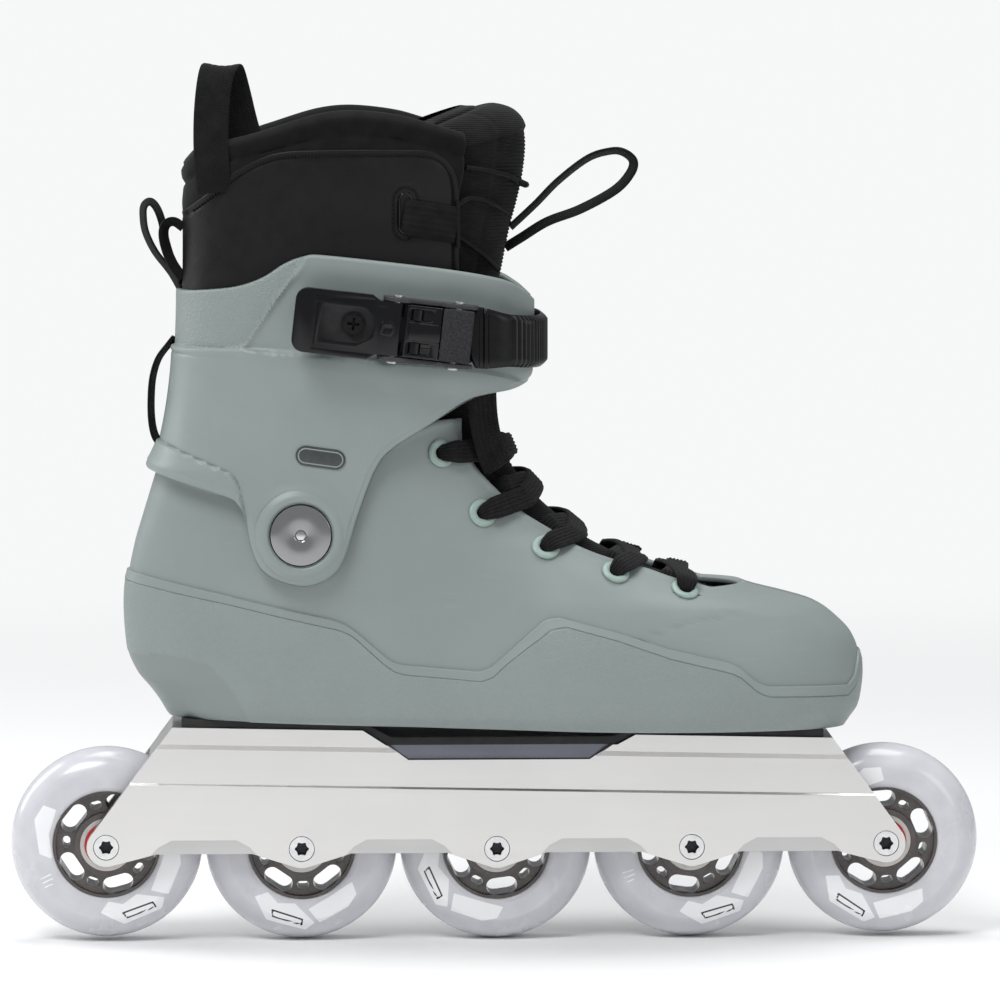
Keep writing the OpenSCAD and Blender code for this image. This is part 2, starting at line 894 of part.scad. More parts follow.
module strap_screw() {
    color([0.15, 0.15, 0.16])
        strap_anchor() {
            ring(2.52, 4.6, -5.8, -5);
            difference() {
                union() {
                    translate([0, 0, 3.5])
                        cylinder(r = 5, h = 2);
                    translate([0, 0, -5.7])
                        cylinder(r = 2.5, h = 9.8);
                }
                translate([0, 0, 4.4])
                    cylinder(r = 1.8, h = 3, $fn = 6);
            }
        }
}

// ---------------------------------------------------------------- liner and soft parts

liner_gap = 1.4;
liner_back = [[214, -134.8], [235, -131.4], [273, -129.6], [330, -128.6], [350, -127]];
liner_front = [[205, 4], [214, 2], [235, -2], [273, 0], [300, 4], [330, 8], [350, 6]];
liner_rows = [
    102.5, 106, 111, 115, 123, 130, 136, 141, 145, 148, 150.5, 152.5, 155, 159, 164, 170, 177,
    184, 191, 198, 205, 213, 224, 235, 248, 262, 278, 294, 310, 324, 334, 341
];
// Upper edge of the liner's collar, as [X, height]
liner_top = [[-129, 330], [-110, 338], [-86, 344.8], [-49, 348.3], [-24, 342.4], [0, 336]];
liner_closed = 10;
liner_cols = 49;
liner_reach = [[146, 180], [149, 168], [160, 155], [180, 147], [205, 140], [230, 138], [345, 140]];

// Liner surface at angle a and height z, drawn in by depth from the boot's walls
function liner_point(a, z, depth) =
    let (
        w = shell_wall + liner_gap + depth,
        low_b = lookup(z, heel_line) + w,
        low_f = lookup(z + 0.8 * w, toe_line) - w,
        blend = smooth((z - 213) / 22),
        b = mix(low_b, lookup(z, liner_back) + depth, blend),
        f = mix(low_f, lookup(z, liner_front) - depth, blend),
        x = mix(b, f, (1 - cos(a)) / 2),
        half = mix(shell_half(x, z) - w, 43.6 - depth, blend)
    )
    [
        x, half * bow(cos(a), 2.5) * sign(a) + bend(x),
        rise(z) - droop(x, z) + (lookup(x, liner_top) - 341) * smooth((z - 290) / 50)
    ];
function liner_grid(depth, lift) = [
    for (k = [0 : len(liner_rows) - 1])
        let (
            z = max(liner_rows[k], 102.5 + lift * (1 + k / 8)),
            reach = k < liner_closed ? 180 : lookup(liner_rows[k], liner_reach)
        )
        [for (a = sweep(reach, liner_cols)) liner_point(a, z, depth)]
];

module liner() {
    color(black)
        difference() {
            wall(liner_grid(0, 0), liner_grid(liner_wall, 2.5), liner_closed);
            for (side = [-1, 1])
                at_pivot(side)
                    translate([0, 0, 37.9])
                        cylinder(r = pivot_cap_r + 0.7, h = 8);
        }
}

// Middle line of the tongue, as [X, height, half-width]
tongue_line = [
    [70, 148.5, 6], [60, 152.5, 10], [46, 158.5, 13], [31, 165.5, 16], [18, 175.5, 18], [8, 188, 19.5],
    [0, 203, 21], [-5, 220, 22], [-6, 245, 23], [-4, 275, 23], [-0.5, 300, 23], [3, 325, 23], [3.5, 345, 21]
];

module tongue() {
    thick = 4;
    count = len(tongue_line);
    color(black)
        skin([
            for (k = [0 : count - 1])
                let (
                    p = tongue_line[k],
                    q = tongue_line[min(count - 1, k + 1)] - tongue_line[max(0, k - 1)],
                    along = [q[0], q[1]] / norm([q[0], q[1]]),
                    normal = [along[1], -along[0]]
                )
                [
                    for (b = [0 : 22.5 : 337.5])
                        let (
                            y = p[2] * cos(b),
                            drop = 0.18 * y * y / p[2],
                            off = thick * sin(b) - drop
                        )
                        [p[0] + normal[0] * off, y + bend(p[0]), p[1] + normal[1] * off]
                ]
        ]);
}

module footbed() {
    color([0.1, 0.1, 0.11])
        skin([
            for (z = [106, 109])
                [for (a = [-172.5 : 15 : 172.5]) liner_point(a, z, liner_wall + 1.5)]
        ]);
}

// A thin sheet laid on the liner's outer side between two angles and two heights
module liner_sheet(side, a0, a1, z0, z1, lift, thick) {
    cols = 12;
    skin([
        for (z = [z0 : (z1 - z0) / 4 : z1])
            concat(
                [for (j = [0 : cols]) liner_point(side * mix(a0, a1, j / cols), z, -lift)],
                [for (j = [cols : -1 : 0]) liner_point(side * mix(a0, a1, j / cols), z, -lift - thick)]
            )
    ]);
}

module ankle_patch() {
    color([0.07, 0.07, 0.075])
        for (side = [-1, 1])
            mirror([0, side > 0 ? 1 : 0, 0])
                liner_sheet(-1, 48, 134, 290, 324, 0.15, 0.9);
}

module liner_webbing() {
    color(black)
        for (side = [-1, 1])
            mirror([0, side > 0 ? 1 : 0, 0])
                liner_sheet(-1, 108, 128, 300, 313, 1.2, 0.9);
}

// Flat lace across the front of the tongue at liner height
module liner_cord() {
    color(black)
        for (z = [303, 310])
            translate([0, 0, z])
                cord_arc(z);
}

module cord_arc(z) {
    rotate([90, 0, 90])
        translate([0, 0, 4.8 + (z - 303) * 0.15])
            linear_extrude(1.6)
                translate([-14, 0])
                    square([28, 2]);
}

// Flat lace bridging the throat between the two eyelets of a pair
module shell_lace() {
    color(black)
        for (k = [0 : len(eyelet_spots) - 1])
            lace_bridge(eyelet_spots[k]);
}

module lace_bridge(spot) {
    x = spot[0];
    z = spot[1];
    half = shell_y(x, z, 0);
    rise_mid = [17, 27, 16, 14, 11];
    ahead_share = [1.62, 0.75, 0.75, 0.75, 0.75];
    lace_lift = 3;
    k = search(x, eyelet_spots)[0];
    steps = 12;
    skin([
        for (j = [0 : steps])
            let (
                t = j / steps,
                y = mix(-half - lace_lift, half + lace_lift, t),
                bulge = rise_mid[k] * (1 - pow(2 * t - 1, 2)),
                up = bulge + lace_lift,
                ahead = ahead_share[k] * bulge
            )
            [
                [x + ahead - 3, y + bend(x), z + up + 1.6], [x + ahead + 3, y + bend(x), z + up + 0.2],
                [x + ahead + 3.8, y + bend(x), z + up + 1.4], [x + ahead - 2.2, y + bend(x), z + up + 2.8]
            ]
    ]);
}

// A flat band that follows a side-view outline, with a matching hole inside it
module band_loop(points, inset, y0, y1) {
    across(y0, y1)
        difference() {
            polygon(points);
            translate(mid_of(points) * inset)
                scale(1 - inset)
                    polygon(points);
        }
}

function mid_of(points) = [for (c = [0, 1]) let (v = [for (p = points) p[c]]) (min(v) + max(v)) / 2];

module heel_loop() {
    color(black)
        translate([-117, 0, 0])
            rotate([90, 0, 90])
                linear_extrude(12.5)
                    difference() {
                        polygon([[-13, 343], [-13, 352], [-8, 361.5], [0, 365], [8, 361.5], [13, 352], [13, 343]]);
                        polygon([[-11, 342], [-11, 351.5], [-7, 359.8], [0, 363], [7, 359.8], [11, 351.5], [11, 342]]);
                    }
}

module front_loop() {
    color(black)
        band_loop([[7, 284], [24, 302], [33, 306], [58, 322], [57, 327], [50, 329], [30, 318], [16, 307]], 0.16, -6, 6);
}

module rear_loops() {
    color(black) {
        band_loop([[-130.5, 290], [-137, 276], [-146, 302], [-144, 309], [-139, 309.5]], 0.18, -7, -1);
        band_loop([[-130.5, 288], [-134.5, 278], [-138, 296], [-136, 300.5], [-133, 300]], 0.18, 1, 7);
    }
}

module cuff_loop() {
    color(black)
        across(-6, 6)
            polygon([
                [-136.2, 250], [-138.5, 250], [-143.5, 240], [-144, 222], [-141.5, 211], [-141, 211],
                [-142.6, 222], [-142, 239], [-137.5, 247]
            ]);
}

at_axle(0) tyre();  // tyre_1
at_axle(1) tyre();  // tyre_2
at_axle(2) tyre();  // tyre_3
at_axle(3) tyre();  // tyre_4
at_axle(4) tyre();  // tyre_5
at_axle(0) hub(hub_turns[0]);  // hub_1
at_axle(1) hub(hub_turns[1]);  // hub_2
at_axle(2) hub(hub_turns[2]);  // hub_3
at_axle(3) hub(hub_turns[3]);  // hub_4
at_axle(4) hub(hub_turns[4]);  // hub_5
at_axle(0) bearing_outers();  // bearing_outers_1
at_axle(1) bearing_outers();  // bearing_outers_2
at_axle(2) bearing_outers();  // bearing_outers_3
at_axle(3) bearing_outers();  // bearing_outers_4
at_axle(4) bearing_outers();  // bearing_outers_5
at_axle(0) bearing_balls();  // bearing_balls_1
at_axle(1) bearing_balls();  // bearing_balls_2
at_axle(2) bearing_balls();  // bearing_balls_3
at_axle(3) bearing_balls();  // bearing_balls_4
at_axle(4) bearing_balls();  // bearing_balls_5
bearing_inners();
bearing_spacers();
axles();
frame();
damping_plate();
mount_bolts();
mount_washers();
mount_inserts();
shell();
eyelets();
cuff();
cuff_bolts();
cuff_nuts();
cuff_bushings();
buckle_base();
buckle_screw();
lever();
buckle_pin(lever_pin_x);  // lever_pin
latch();
buckle_pin(latch_pin_x);  // latch_pin
buckle_springs();
ladder_strap();
strap_screw();
liner();
tongue();
footbed();
ankle_patch();
liner_webbing();
liner_cord();
shell_lace();
heel_loop();
front_loop();
rear_loops();
cuff_loop();
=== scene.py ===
import json
import math

import bmesh
import bpy
import numpy as np
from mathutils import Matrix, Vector


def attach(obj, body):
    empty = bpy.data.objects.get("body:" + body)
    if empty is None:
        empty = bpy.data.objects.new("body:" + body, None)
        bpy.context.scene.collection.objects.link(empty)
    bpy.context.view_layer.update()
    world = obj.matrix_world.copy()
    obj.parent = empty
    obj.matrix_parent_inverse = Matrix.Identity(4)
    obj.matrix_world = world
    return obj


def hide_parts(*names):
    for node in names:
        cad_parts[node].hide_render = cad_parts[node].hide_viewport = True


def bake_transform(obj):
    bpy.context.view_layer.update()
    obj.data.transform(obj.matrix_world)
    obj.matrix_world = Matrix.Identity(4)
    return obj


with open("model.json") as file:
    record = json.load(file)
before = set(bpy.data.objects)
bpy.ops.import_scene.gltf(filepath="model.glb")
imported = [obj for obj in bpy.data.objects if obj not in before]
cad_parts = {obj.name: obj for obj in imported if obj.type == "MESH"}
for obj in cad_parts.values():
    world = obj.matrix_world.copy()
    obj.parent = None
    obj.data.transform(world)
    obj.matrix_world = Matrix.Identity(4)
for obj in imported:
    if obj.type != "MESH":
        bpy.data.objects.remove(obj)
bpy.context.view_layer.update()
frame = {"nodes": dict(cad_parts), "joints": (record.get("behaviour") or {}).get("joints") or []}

MM = 0.001
NODES = frame["nodes"]
JOINTS = {joint["name"]: joint for joint in frame["joints"]}


# ================================================================ curves and grids

def smooth(t):
    """An eased step from 0 to 1 as t goes from 0 to 1."""
    c = np.clip(t, 0, 1)
    return c * c * (3 - 2 * c)


def mix(a, b, t):
    """From a to b as t goes from 0 to 1."""
    return a + (b - a) * t


def unit(v):
    """Vectors along the last axis at length 1."""
    return v / np.maximum(np.linalg.norm(v, axis=-1, keepdims=True), 1e-12)


def line(points):
    """A smooth curve v(u) through (u, v) points that never overshoots them."""
    u, v = np.array(sorted(points), float).T
    h, d = np.diff(u), np.diff(v) / np.diff(u)
    m = np.zeros(len(u))
    for k in range(1, len(h)):
        if d[k] * d[k - 1] > 0:
            w1, w2 = 2 * h[k] + h[k - 1], h[k] + 2 * h[k - 1]
            m[k] = (w1 + w2) / (w1 / d[k - 1] + w2 / d[k])
    m[0], m[-1] = d[0], d[-1]

    def at(x):
        x = np.clip(x, u[0], u[-1])
        k = np.clip(np.searchsorted(u, x, side="right") - 1, 0, len(h) - 1)
        t = (x - u[k]) / h[k]
        near = v[k] * (1 + 2 * t) + h[k] * m[k] * t
        far = v[k + 1] * (3 - 2 * t) + h[k] * m[k + 1] * (t - 1)
        return near * (1 - t) ** 2 + far * t * t

    return at


def path(points, count):
    """count points evenly spaced along a smooth curve through the given points."""
    p = np.array(points, float)
    ext = [2 * p[0] - p[1], *p, 2 * p[-1] - p[-2]]
    t = np.linspace(0, 1, 24, endpoint=False)[:, None]
    out = []
    for p0, p1, p2, p3 in zip(ext, ext[1:], ext[2:], ext[3:]):
        out.append(0.5 * ((2 * p1) + (p2 - p0) * t + (2 * p0 - 5 * p1 + 4 * p2 - p3) * t * t
                          + (3 * p1 - p0 - 3 * p2 + p3) * t ** 3))
    return spaced(np.concatenate([*out, p[-1:]]), count)


def length_along(points):
    """Distance from a polyline's start to each of its points."""
    return np.concatenate([[0], np.cumsum(np.linalg.norm(np.diff(points, axis=0), axis=1))])


def spaced(points, count):
    """The same polyline with count points at even distances."""
    run = length_along(points)
    want = np.linspace(0, run[-1], count)
    return np.stack([np.interp(want, run, points[:, k]) for k in range(points.shape[1])], axis=1)


def distance_to(x, z, points):
    """Distance in side view from each (x, z) to a polyline."""
    best = np.full(np.shape(x), 1e9)
    pts = np.array(points, float)
    for a, b in zip(pts[:-1], pts[1:]):
        d = b - a
        t = np.clip(((x - a[0]) * d[0] + (z - a[1]) * d[1]) / (d @ d), 0, 1)
        best = np.minimum(best, np.hypot(x - a[0] - t * d[0], z - a[1] - t * d[1]))
    return best


def inside(x, z, points):
    """Is each (x, z) inside the side-view polygon?"""
    pts = np.array(points, float)
    hit = np.zeros(np.shape(x), bool)
    for a, b in zip(pts, np.roll(pts, -1, axis=0)):
        cross = (a[1] > z) != (b[1] > z)
        with np.errstate(divide="ignore", invalid="ignore"):
            at = (b[0] - a[0]) * (z - a[1]) / (b[1] - a[1]) + a[0]
        hit ^= cross & (x < at)
    return hit


def groove(distance, depth, width):
    """Height of a soft groove at a distance from its line."""
    return -depth * np.exp(-(distance / width) ** 2)


def round_over(distance, radius):
    """How far a surface drops at a distance from its edge, for an edge rounded to radius."""
    return radius - np.sqrt(np.maximum(0, radius * radius - np.maximum(0, radius - distance) ** 2))


def normals(grid):
    """Unit normals of a grid of points, pointing out of the wall."""
    first, last = 2 * grid[:, :1] - grid[:, 1:2], 2 * grid[:, -1:] - grid[:, -2:-1]
    wide = np.concatenate([first, grid, last], axis=1)
    return unit(np.cross(np.gradient(grid, axis=0), wide[:, 2:] - wide[:, :-2]))


def side_distance(grid):
    """Distance along each row of a grid from its nearer end."""
    run = np.cumsum(np.linalg.norm(np.diff(grid, axis=1, prepend=grid[:, :1]), axis=-1), axis=1)
    return np.minimum(run, run[:, -1:] - run)


def outward_normal(at, x, z, side):
    """Normal of the surface at(x, z), turned to the side of the skate it is on."""
    n = unit(np.cross(at(x + 1, z) - at(x - 1, z), at(x, z + 1) - at(x, z - 1)))
    return np.where(n[..., 1:2] * side < 0, -n, n)


def distance_3d(grid, line_points):
    """Distance from each point of a grid to a polyline in space."""
    best = np.full(grid.shape[:-1], 1e9)
    for a, b in zip(line_points[:-1], line_points[1:]):
        ab = b - a
        t = np.clip(((grid - a) @ ab) / max(1e-12, ab @ ab), 0, 1)
        gap = grid - a - t[..., None] * ab
        best = np.minimum(best, np.einsum("...k,...k->...", gap, gap))
    return np.sqrt(best)


# ================================================================ mesh building

def make(name, points, faces, material, body, slot=None, replaces=(), layers=None, sharp=35):
    """A mesh piece from points in millimetres that rides on body. layers are named values per point, and
    sharp is the angle in degrees above which an edge stays hard."""
    data = bpy.data.meshes.new(name)
    data.from_pydata(np.asarray(points, float) * MM, [], [tuple(int(i) for i in f) for f in faces])
    for key, values in (layers or {}).items():
        layer = data.attributes.new(key, "FLOAT", "POINT")
        layer.data.foreach_set("value", np.asarray(values, np.float32).ravel())
    bm = bmesh.new()
    bm.from_mesh(data)
    bmesh.ops.remove_doubles(bm, verts=bm.verts, dist=2e-6)
    bmesh.ops.dissolve_degenerate(bm, edges=bm.edges, dist=1e-7)
    loose = [v for v in bm.verts if not v.link_faces]
    bmesh.ops.delete(bm, geom=loose, context="VERTS")
    bmesh.ops.recalc_face_normals(bm, faces=bm.faces)
    limit = math.radians(sharp)
    for face in bm.faces:
        face.smooth = True
    for edge in bm.edges:
        if len(edge.link_faces) == 2 and edge.calc_face_angle(0) > limit:
            edge.smooth = False
    bm.to_mesh(data)
    bm.free()
    data.materials.append(material)
    obj = bpy.data.objects.new(name, data)
    bpy.context.scene.collection.objects.link(obj)
    if body:
        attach(obj, body)
    if replaces:
        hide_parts(*replaces)
    return obj


def bend_at_ankle(obj):
    """Bakes a soft piece's placement into its mesh."""
    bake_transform(obj)


def quads(rows, cols, wrap=False):
    """Faces of a grid of points, as an array of four indices."""
    r, c = np.meshgrid(np.arange(rows - 1), np.arange(cols if wrap else cols - 1), indexing="ij")
    n = (c + 1) % cols
    return np.stack([r * cols + c, r * cols + n, (r + 1) * cols + n, (r + 1) * cols + c], axis=-1)


def capped(rows, cols):
    """Faces of a tube of rows rings of cols points, closed at both ends."""
    ends = [list(range(cols - 1, -1, -1)), [(rows - 1) * cols + k for k in range(cols)]]
    return quads(rows, cols, wrap=True).reshape(-1, 4).tolist() + ends


def sheet(outer, inner, keep=None):
    """Points and faces of a wall between two grids, with a rim round its edges and its holes."""
    rows, cols = outer.shape[:2]
    count = rows * cols
    faces = quads(rows, cols)
    if keep is not None:
        faces = faces[keep]
    faces = faces.reshape(-1, 4)
    edges = np.concatenate([faces[:, [k, (k + 1) % 4]] for k in range(4)])
    key = np.sort(edges, axis=1)
    _, index, number = np.unique(key, axis=0, return_index=True, return_counts=True)
    rim = edges[index[number == 1]]
    rims = np.stack([rim[:, 1], rim[:, 0], rim[:, 0] + count, rim[:, 1] + count], axis=1)
    points = np.concatenate([outer.reshape(-1, 3), inner.reshape(-1, 3)])
    return points, np.concatenate([faces, faces[:, ::-1] + count, rims])


def lathe(profile, steps=96):
    """Points and faces of a closed ring section of (radius, height) turned about Z."""
    p = np.array(profile, float)
    a = np.linspace(0, 2 * math.pi, steps, endpoint=False)
    points = np.stack([p[:, :1] * np.cos(a), p[:, :1] * np.sin(a), np.repeat(p[:, 1:], steps, axis=1)],
                      axis=-1)
    grid = np.concatenate([points, points[:1]], axis=0)
    return grid.reshape(-1, 3), quads(len(p) + 1, steps, wrap=True).reshape(-1, 4)


def place(points, origin, x_axis, z_axis):
    """Points moved from a local frame to the part's frame."""
    z = unit(np.array(z_axis, float))
    x = np.array(x_axis, float)
    x = unit(x - (x @ z) * z)
    return np.asarray(points) @ np.array([x, np.cross(z, x), z]) + np.array(origin, float)


def band(centre, normal, width, thick, ribs=0.0):
    """A flat woven band swept along centre, with rounded edges. width and thick may vary along it; ribs
    raises fine lengthwise cords on both faces."""
    n = len(centre)
    along = unit(np.gradient(centre, axis=0))
    face = unit(normal - (normal * along).sum(1)[:, None] * along)
    across = np.cross(along, face)
    width = np.broadcast_to(width, n)[:, None, None]
    thick = np.broadcast_to(thick, n)[:, None, None]
    u = np.linspace(-1, 1, 31)
    round_off = np.sqrt(np.clip(1 - np.abs(u) ** 6, 0, 1)) * (1 + ribs * np.cos(u * math.pi * 6))
    section = np.concatenate([np.stack([u, round_off], 1), np.stack([u, -round_off], 1)[::-1][1:-1]])
    grid = (centre[:, None] + across[:, None] * section[None, :, :1] * width / 2
            + face[:, None] * section[None, :, 1:] * thick / 2)
    return grid.reshape(-1, 3), capped(n, len(section))


def join(parts):
    """Several (points, faces) pairs as one."""
    points, faces, shift = [], [], 0
    for p, f in parts:
        points.append(np.asarray(p, float))
        faces += [[int(i) + shift for i in face] for face in f]
        shift += len(p)
    return np.concatenate(points), faces


def tube(centre, radius, sides=8):
    """A round cord along centre; the radius may vary along it."""
    n = len(centre)
    along = unit(np.gradient(centre, axis=0))
    ref = np.array([0.0, 0.0, 1.0]) if abs(along[:, 2]).mean() < 0.8 else np.array([1.0, 0.0, 0.0])
    a = unit(np.cross(along, ref))
    b = np.cross(along, a)
    t = np.linspace(0, 2 * math.pi, sides, endpoint=False)
    r = np.broadcast_to(radius, n)[:, None, None]
    grid = centre[:, None] + r * (a[:, None] * np.cos(t)[:, None] + b[:, None] * np.sin(t)[:, None])
    return grid.reshape(-1, 3), capped(n, sides)


def prism(outline, low, high, bevel=0.4, steps=3):
    """A plate with rounded edges: outline is (x, y) points, from low to high in z."""
    p = np.array(outline, float)
    n = len(p)
    area = 0.5 * np.sum(p[:, 0] * np.roll(p[:, 1], -1) - p[:, 1] * np.roll(p[:, 0], -1))
    if area < 0:
        p = p[::-1]
    e = unit(np.roll(p, -1, axis=0) - p)
    out = np.stack([e[:, 1], -e[:, 0]], 1)
    mean = unit(out + np.roll(out, 1, axis=0))
    grow = 1 / np.maximum(0.4, (mean * out).sum(1))[:, None]
    arc = np.linspace(0, math.pi / 2, steps + 1)
    rise, off = bevel * (1 - np.sin(arc)), -bevel * (1 - np.cos(arc))
    rings = [*zip(low + rise[::-1], off[::-1]), *zip(high - rise, off)]
    points = [np.column_stack([p + mean * grow * inset, np.full(n, z)]) for z, inset in rings]
    return np.concatenate(points), capped(len(rings), n)


def rounded(width, height, radius, centre=(0, 0), steps=6):
    """Outline of a rounded rectangle."""
    out = []
    for cx, cy, start in [(1, 1, 0), (-1, 1, 90), (-1, -1, 180), (1, -1, 270)]:
        for k in range(steps + 1):
            a = math.radians(start + 90 * k / steps)
            out.append((centre[0] + cx * (width / 2 - radius) + radius * math.cos(a),
                        centre[1] + cy * (height / 2 - radius) + radius * math.sin(a)))
    return out


# ================================================================ materials

def tint(colour, share):
    """The colour made lighter or darker."""
    return tuple(min(1, c * share) for c in colour)


class Shader:
    """A node material built up from a Principled shader."""

    def __init__(self, name, colour, roughness=0.5, **inputs):
        self.material = bpy.data.materials.new(name)
        self.material.use_nodes = True
        self.tree = self.material.node_tree
        self.bsdf = self.tree.nodes["Principled BSDF"]
        self.colour, self.normal = colour, None
        self.bsdf.inputs["Base Color"].default_value = (*colour, 1)
        for key, value in {"Roughness": roughness, **inputs}.items():
            self.bsdf.inputs[key.replace("_", " ")].default_value = value

    def node(self, kind, **settings):
        """A new node with its inputs, or its own settings, set by name."""
        node = self.tree.nodes.new("ShaderNode" + kind)
        for key, value in settings.items():
            if key in node.inputs:
                node.inputs[key].default_value = value
            else:
                setattr(node, key, value)
        return node

    def link(self, source, target):
        self.tree.links.new(source, target)

    def space(self, stretch=(1, 1, 1), turn=(0, 0, 0)):
        """The object's own coordinates in metres, stretched and turned."""
        coords = self.node("TexCoord")
        mapping = self.node("Mapping", Scale=stretch, Rotation=turn)
        self.link(coords.outputs["Object"], mapping.inputs["Vector"])
        return mapping.outputs["Vector"]

    def noise(self, size, detail=3.0, stretch=(1, 1, 1)):
        """Noise with features of about size millimetres."""
        tex = self.node("TexNoise", Scale=1000 / size, Detail=detail)
        self.link(self.space(stretch), tex.inputs["Vector"])
        return tex.outputs["Fac"]

    def cells(self, size, feature="F1"):
        """Pebbled cells, size millimetres across."""
        tex = self.node("TexVoronoi", Scale=1000 / size, feature=feature)
        self.link(self.space(), tex.inputs["Vector"])
        return tex.outputs["Distance"]

    def waves(self, size, turn=(0, 0, 0)):
        """Even stripes, size millimetres apart, their direction turned by degrees about X, Y and Z."""
        tex = self.node("TexWave", Scale=math.pi * 100 / size, Distortion=0.0, bands_direction="X")
        self.link(self.space(turn=tuple(map(math.radians, turn))), tex.inputs["Vector"])
        return tex.outputs["Fac"]

    def value(self, name):
        """The named value kept on the mesh."""
        return self.node("Attribute", attribute_name=name).outputs["Fac"]

    def range(self, source, low, high, a=0.0, b=1.0):
        """source taken from low..high to a..b, and held there outside it."""
        node = self.node("MapRange", clamp=True)
        self.link(source, node.inputs["Value"])
        for key, val in zip(("From Min", "From Max", "To Min", "To Max"), (low, high, a, b)):
            node.inputs[key].default_value = val
        return node.outputs["Result"]

    def maths(self, operation, a, b):
        node = self.node("Math", operation=operation)
        for socket, val in zip(node.inputs, (a, b)):
            if isinstance(val, (int, float)):
                socket.default_value = val
            else:
                self.link(val, socket)
        return node.outputs[0]

    def blend(self, factor, a, b):
        """Mix of two colours, each a tuple or a socket."""
        node = self.node("Mix", data_type="RGBA")
        self.link(factor, node.inputs[0])
        for socket, val in ((node.inputs[6], a), (node.inputs[7], b)):
            if isinstance(val, tuple):
                socket.default_value = (*val, 1)
            else:
                self.link(val, socket)
        return node.outputs[2]

    def paint(self, factor, other):
        """Goes over to another base colour where factor is 1."""
        socket = self.bsdf.inputs["Base Color"]
        base = socket.links[0].from_socket if socket.links else self.colour
        self.link(self.blend(factor, base, other), socket)

    def mottle(self, size, share, detail=3.0):
        """Darker and lighter by share, in patches of size millimetres."""
        patches = self.range(self.noise(size, detail), 0.35, 0.65)
        blend = self.blend(patches, tint(self.colour, 1 - share), tint(self.colour, 1 + share))
        self.link(blend, self.bsdf.inputs["Base Color"])

    def gloss(self, size, low, high, detail=3.0, stretch=(1, 1, 1)):
        """Roughness that varies from low to high in patches of size millimetres."""
        patches = self.noise(size, detail, stretch)
        self.link(self.range(patches, 0.3, 0.7, low, high), self.bsdf.inputs["Roughness"])

    def bump(self, height, depth):
        """Adds a bump of depth millimetres."""
        node = self.node("Bump", Strength=1.0, Distance=depth * MM)
        self.link(height, node.inputs["Height"])
        if self.normal:
            self.link(self.normal, node.inputs["Normal"])
        self.normal = node.outputs["Normal"]
        self.link(self.normal, self.bsdf.inputs["Normal"])


def moulded(name, colour, roughness, grain):
    """Moulded plastic with faint flow marks and scuffs, a leather-like grain as deep as the mesh's grain
    value says, and a darker tone where its shade value says."""
    s = Shader(name, colour, roughness, Specular_IOR_Level=0.45)
    s.mottle(34, 0.025)
    s.gloss(9, roughness - 0.04, roughness + 0.05)
    s.bump(s.noise(0.9, 2), 0.012)
    cells = s.range(s.cells(0.85, "SMOOTH_F1"), 0.0, 0.55)
    s.bump(s.maths("MULTIPLY", cells, s.value("grain")), grain)
    scuff = s.range(s.noise(26, 6, (1, 1, 7)), 0.66, 0.74)
    s.paint(s.maths("MULTIPLY", scuff, 0.10), tint(colour, 1.5))
    s.paint(s.value("shade"), tint(colour, 0.80))
    return s.material


def fabric(name, colour, weave, depth, sheen):
    """Cloth: two crossed sets of threads, weave millimetres apart, soft sheen and uneven dye."""
    s = Shader(name, colour, 0.85, Sheen_Weight=sheen, Sheen_Roughness=0.4, Specular_IOR_Level=0.15)
    s.mottle(7, 0.25)
    s.bump(s.waves(weave, (0, 45, 0)), depth)
    s.bump(s.waves(weave, (0, -45, 0)), depth)
    s.bump(s.noise(1.3, 4), depth * 1.4)
    return s.material


def plain(name, colour, roughness, mottle=None, gloss=None, bump=None, **inputs):
    """A finish with uneven colour (size, share), uneven gloss (size, low, high) and a fine skin
    (size, detail, depth, stretch), with sizes and depth in millimetres."""
    s = Shader(name, colour, roughness, **inputs)
    if mottle:
        s.mottle(*mottle)
    if gloss:
        s.gloss(*gloss)
    if bump:
        size, detail, depth, *stretch = bump
        s.bump(s.noise(size, detail, *stretch), depth)
    return s


SAGE = (0.232, 0.272, 0.262)
M = {}


def boot_materials():
    M["shell"] = moulded("shell_plastic", SAGE, 0.47, 0.17)
    M["cuff"] = moulded("cuff_plastic", tint(SAGE, 1.04), 0.42, 0.12)
    M["cap"] = plain("pivot_cap", (0.27, 0.27, 0.28), 0.14, None, (7, 0.1, 0.2), (7, 2, 0.02),
                     Metallic=0.7, Coat_Weight=0.5, Coat_Roughness=0.05).material
    M["eyelet"] = plain("eyelet_mint", (0.28, 0.37, 0.335), 0.35, (2, 0.06), (2, 0.3, 0.42),
                        (0.5, 3, 0.01)).material
    M["badge"] = plain("badge_dark", (0.045, 0.052, 0.050), 0.4, (2, 0.1), None, (0.6, 3, 0.02)).material


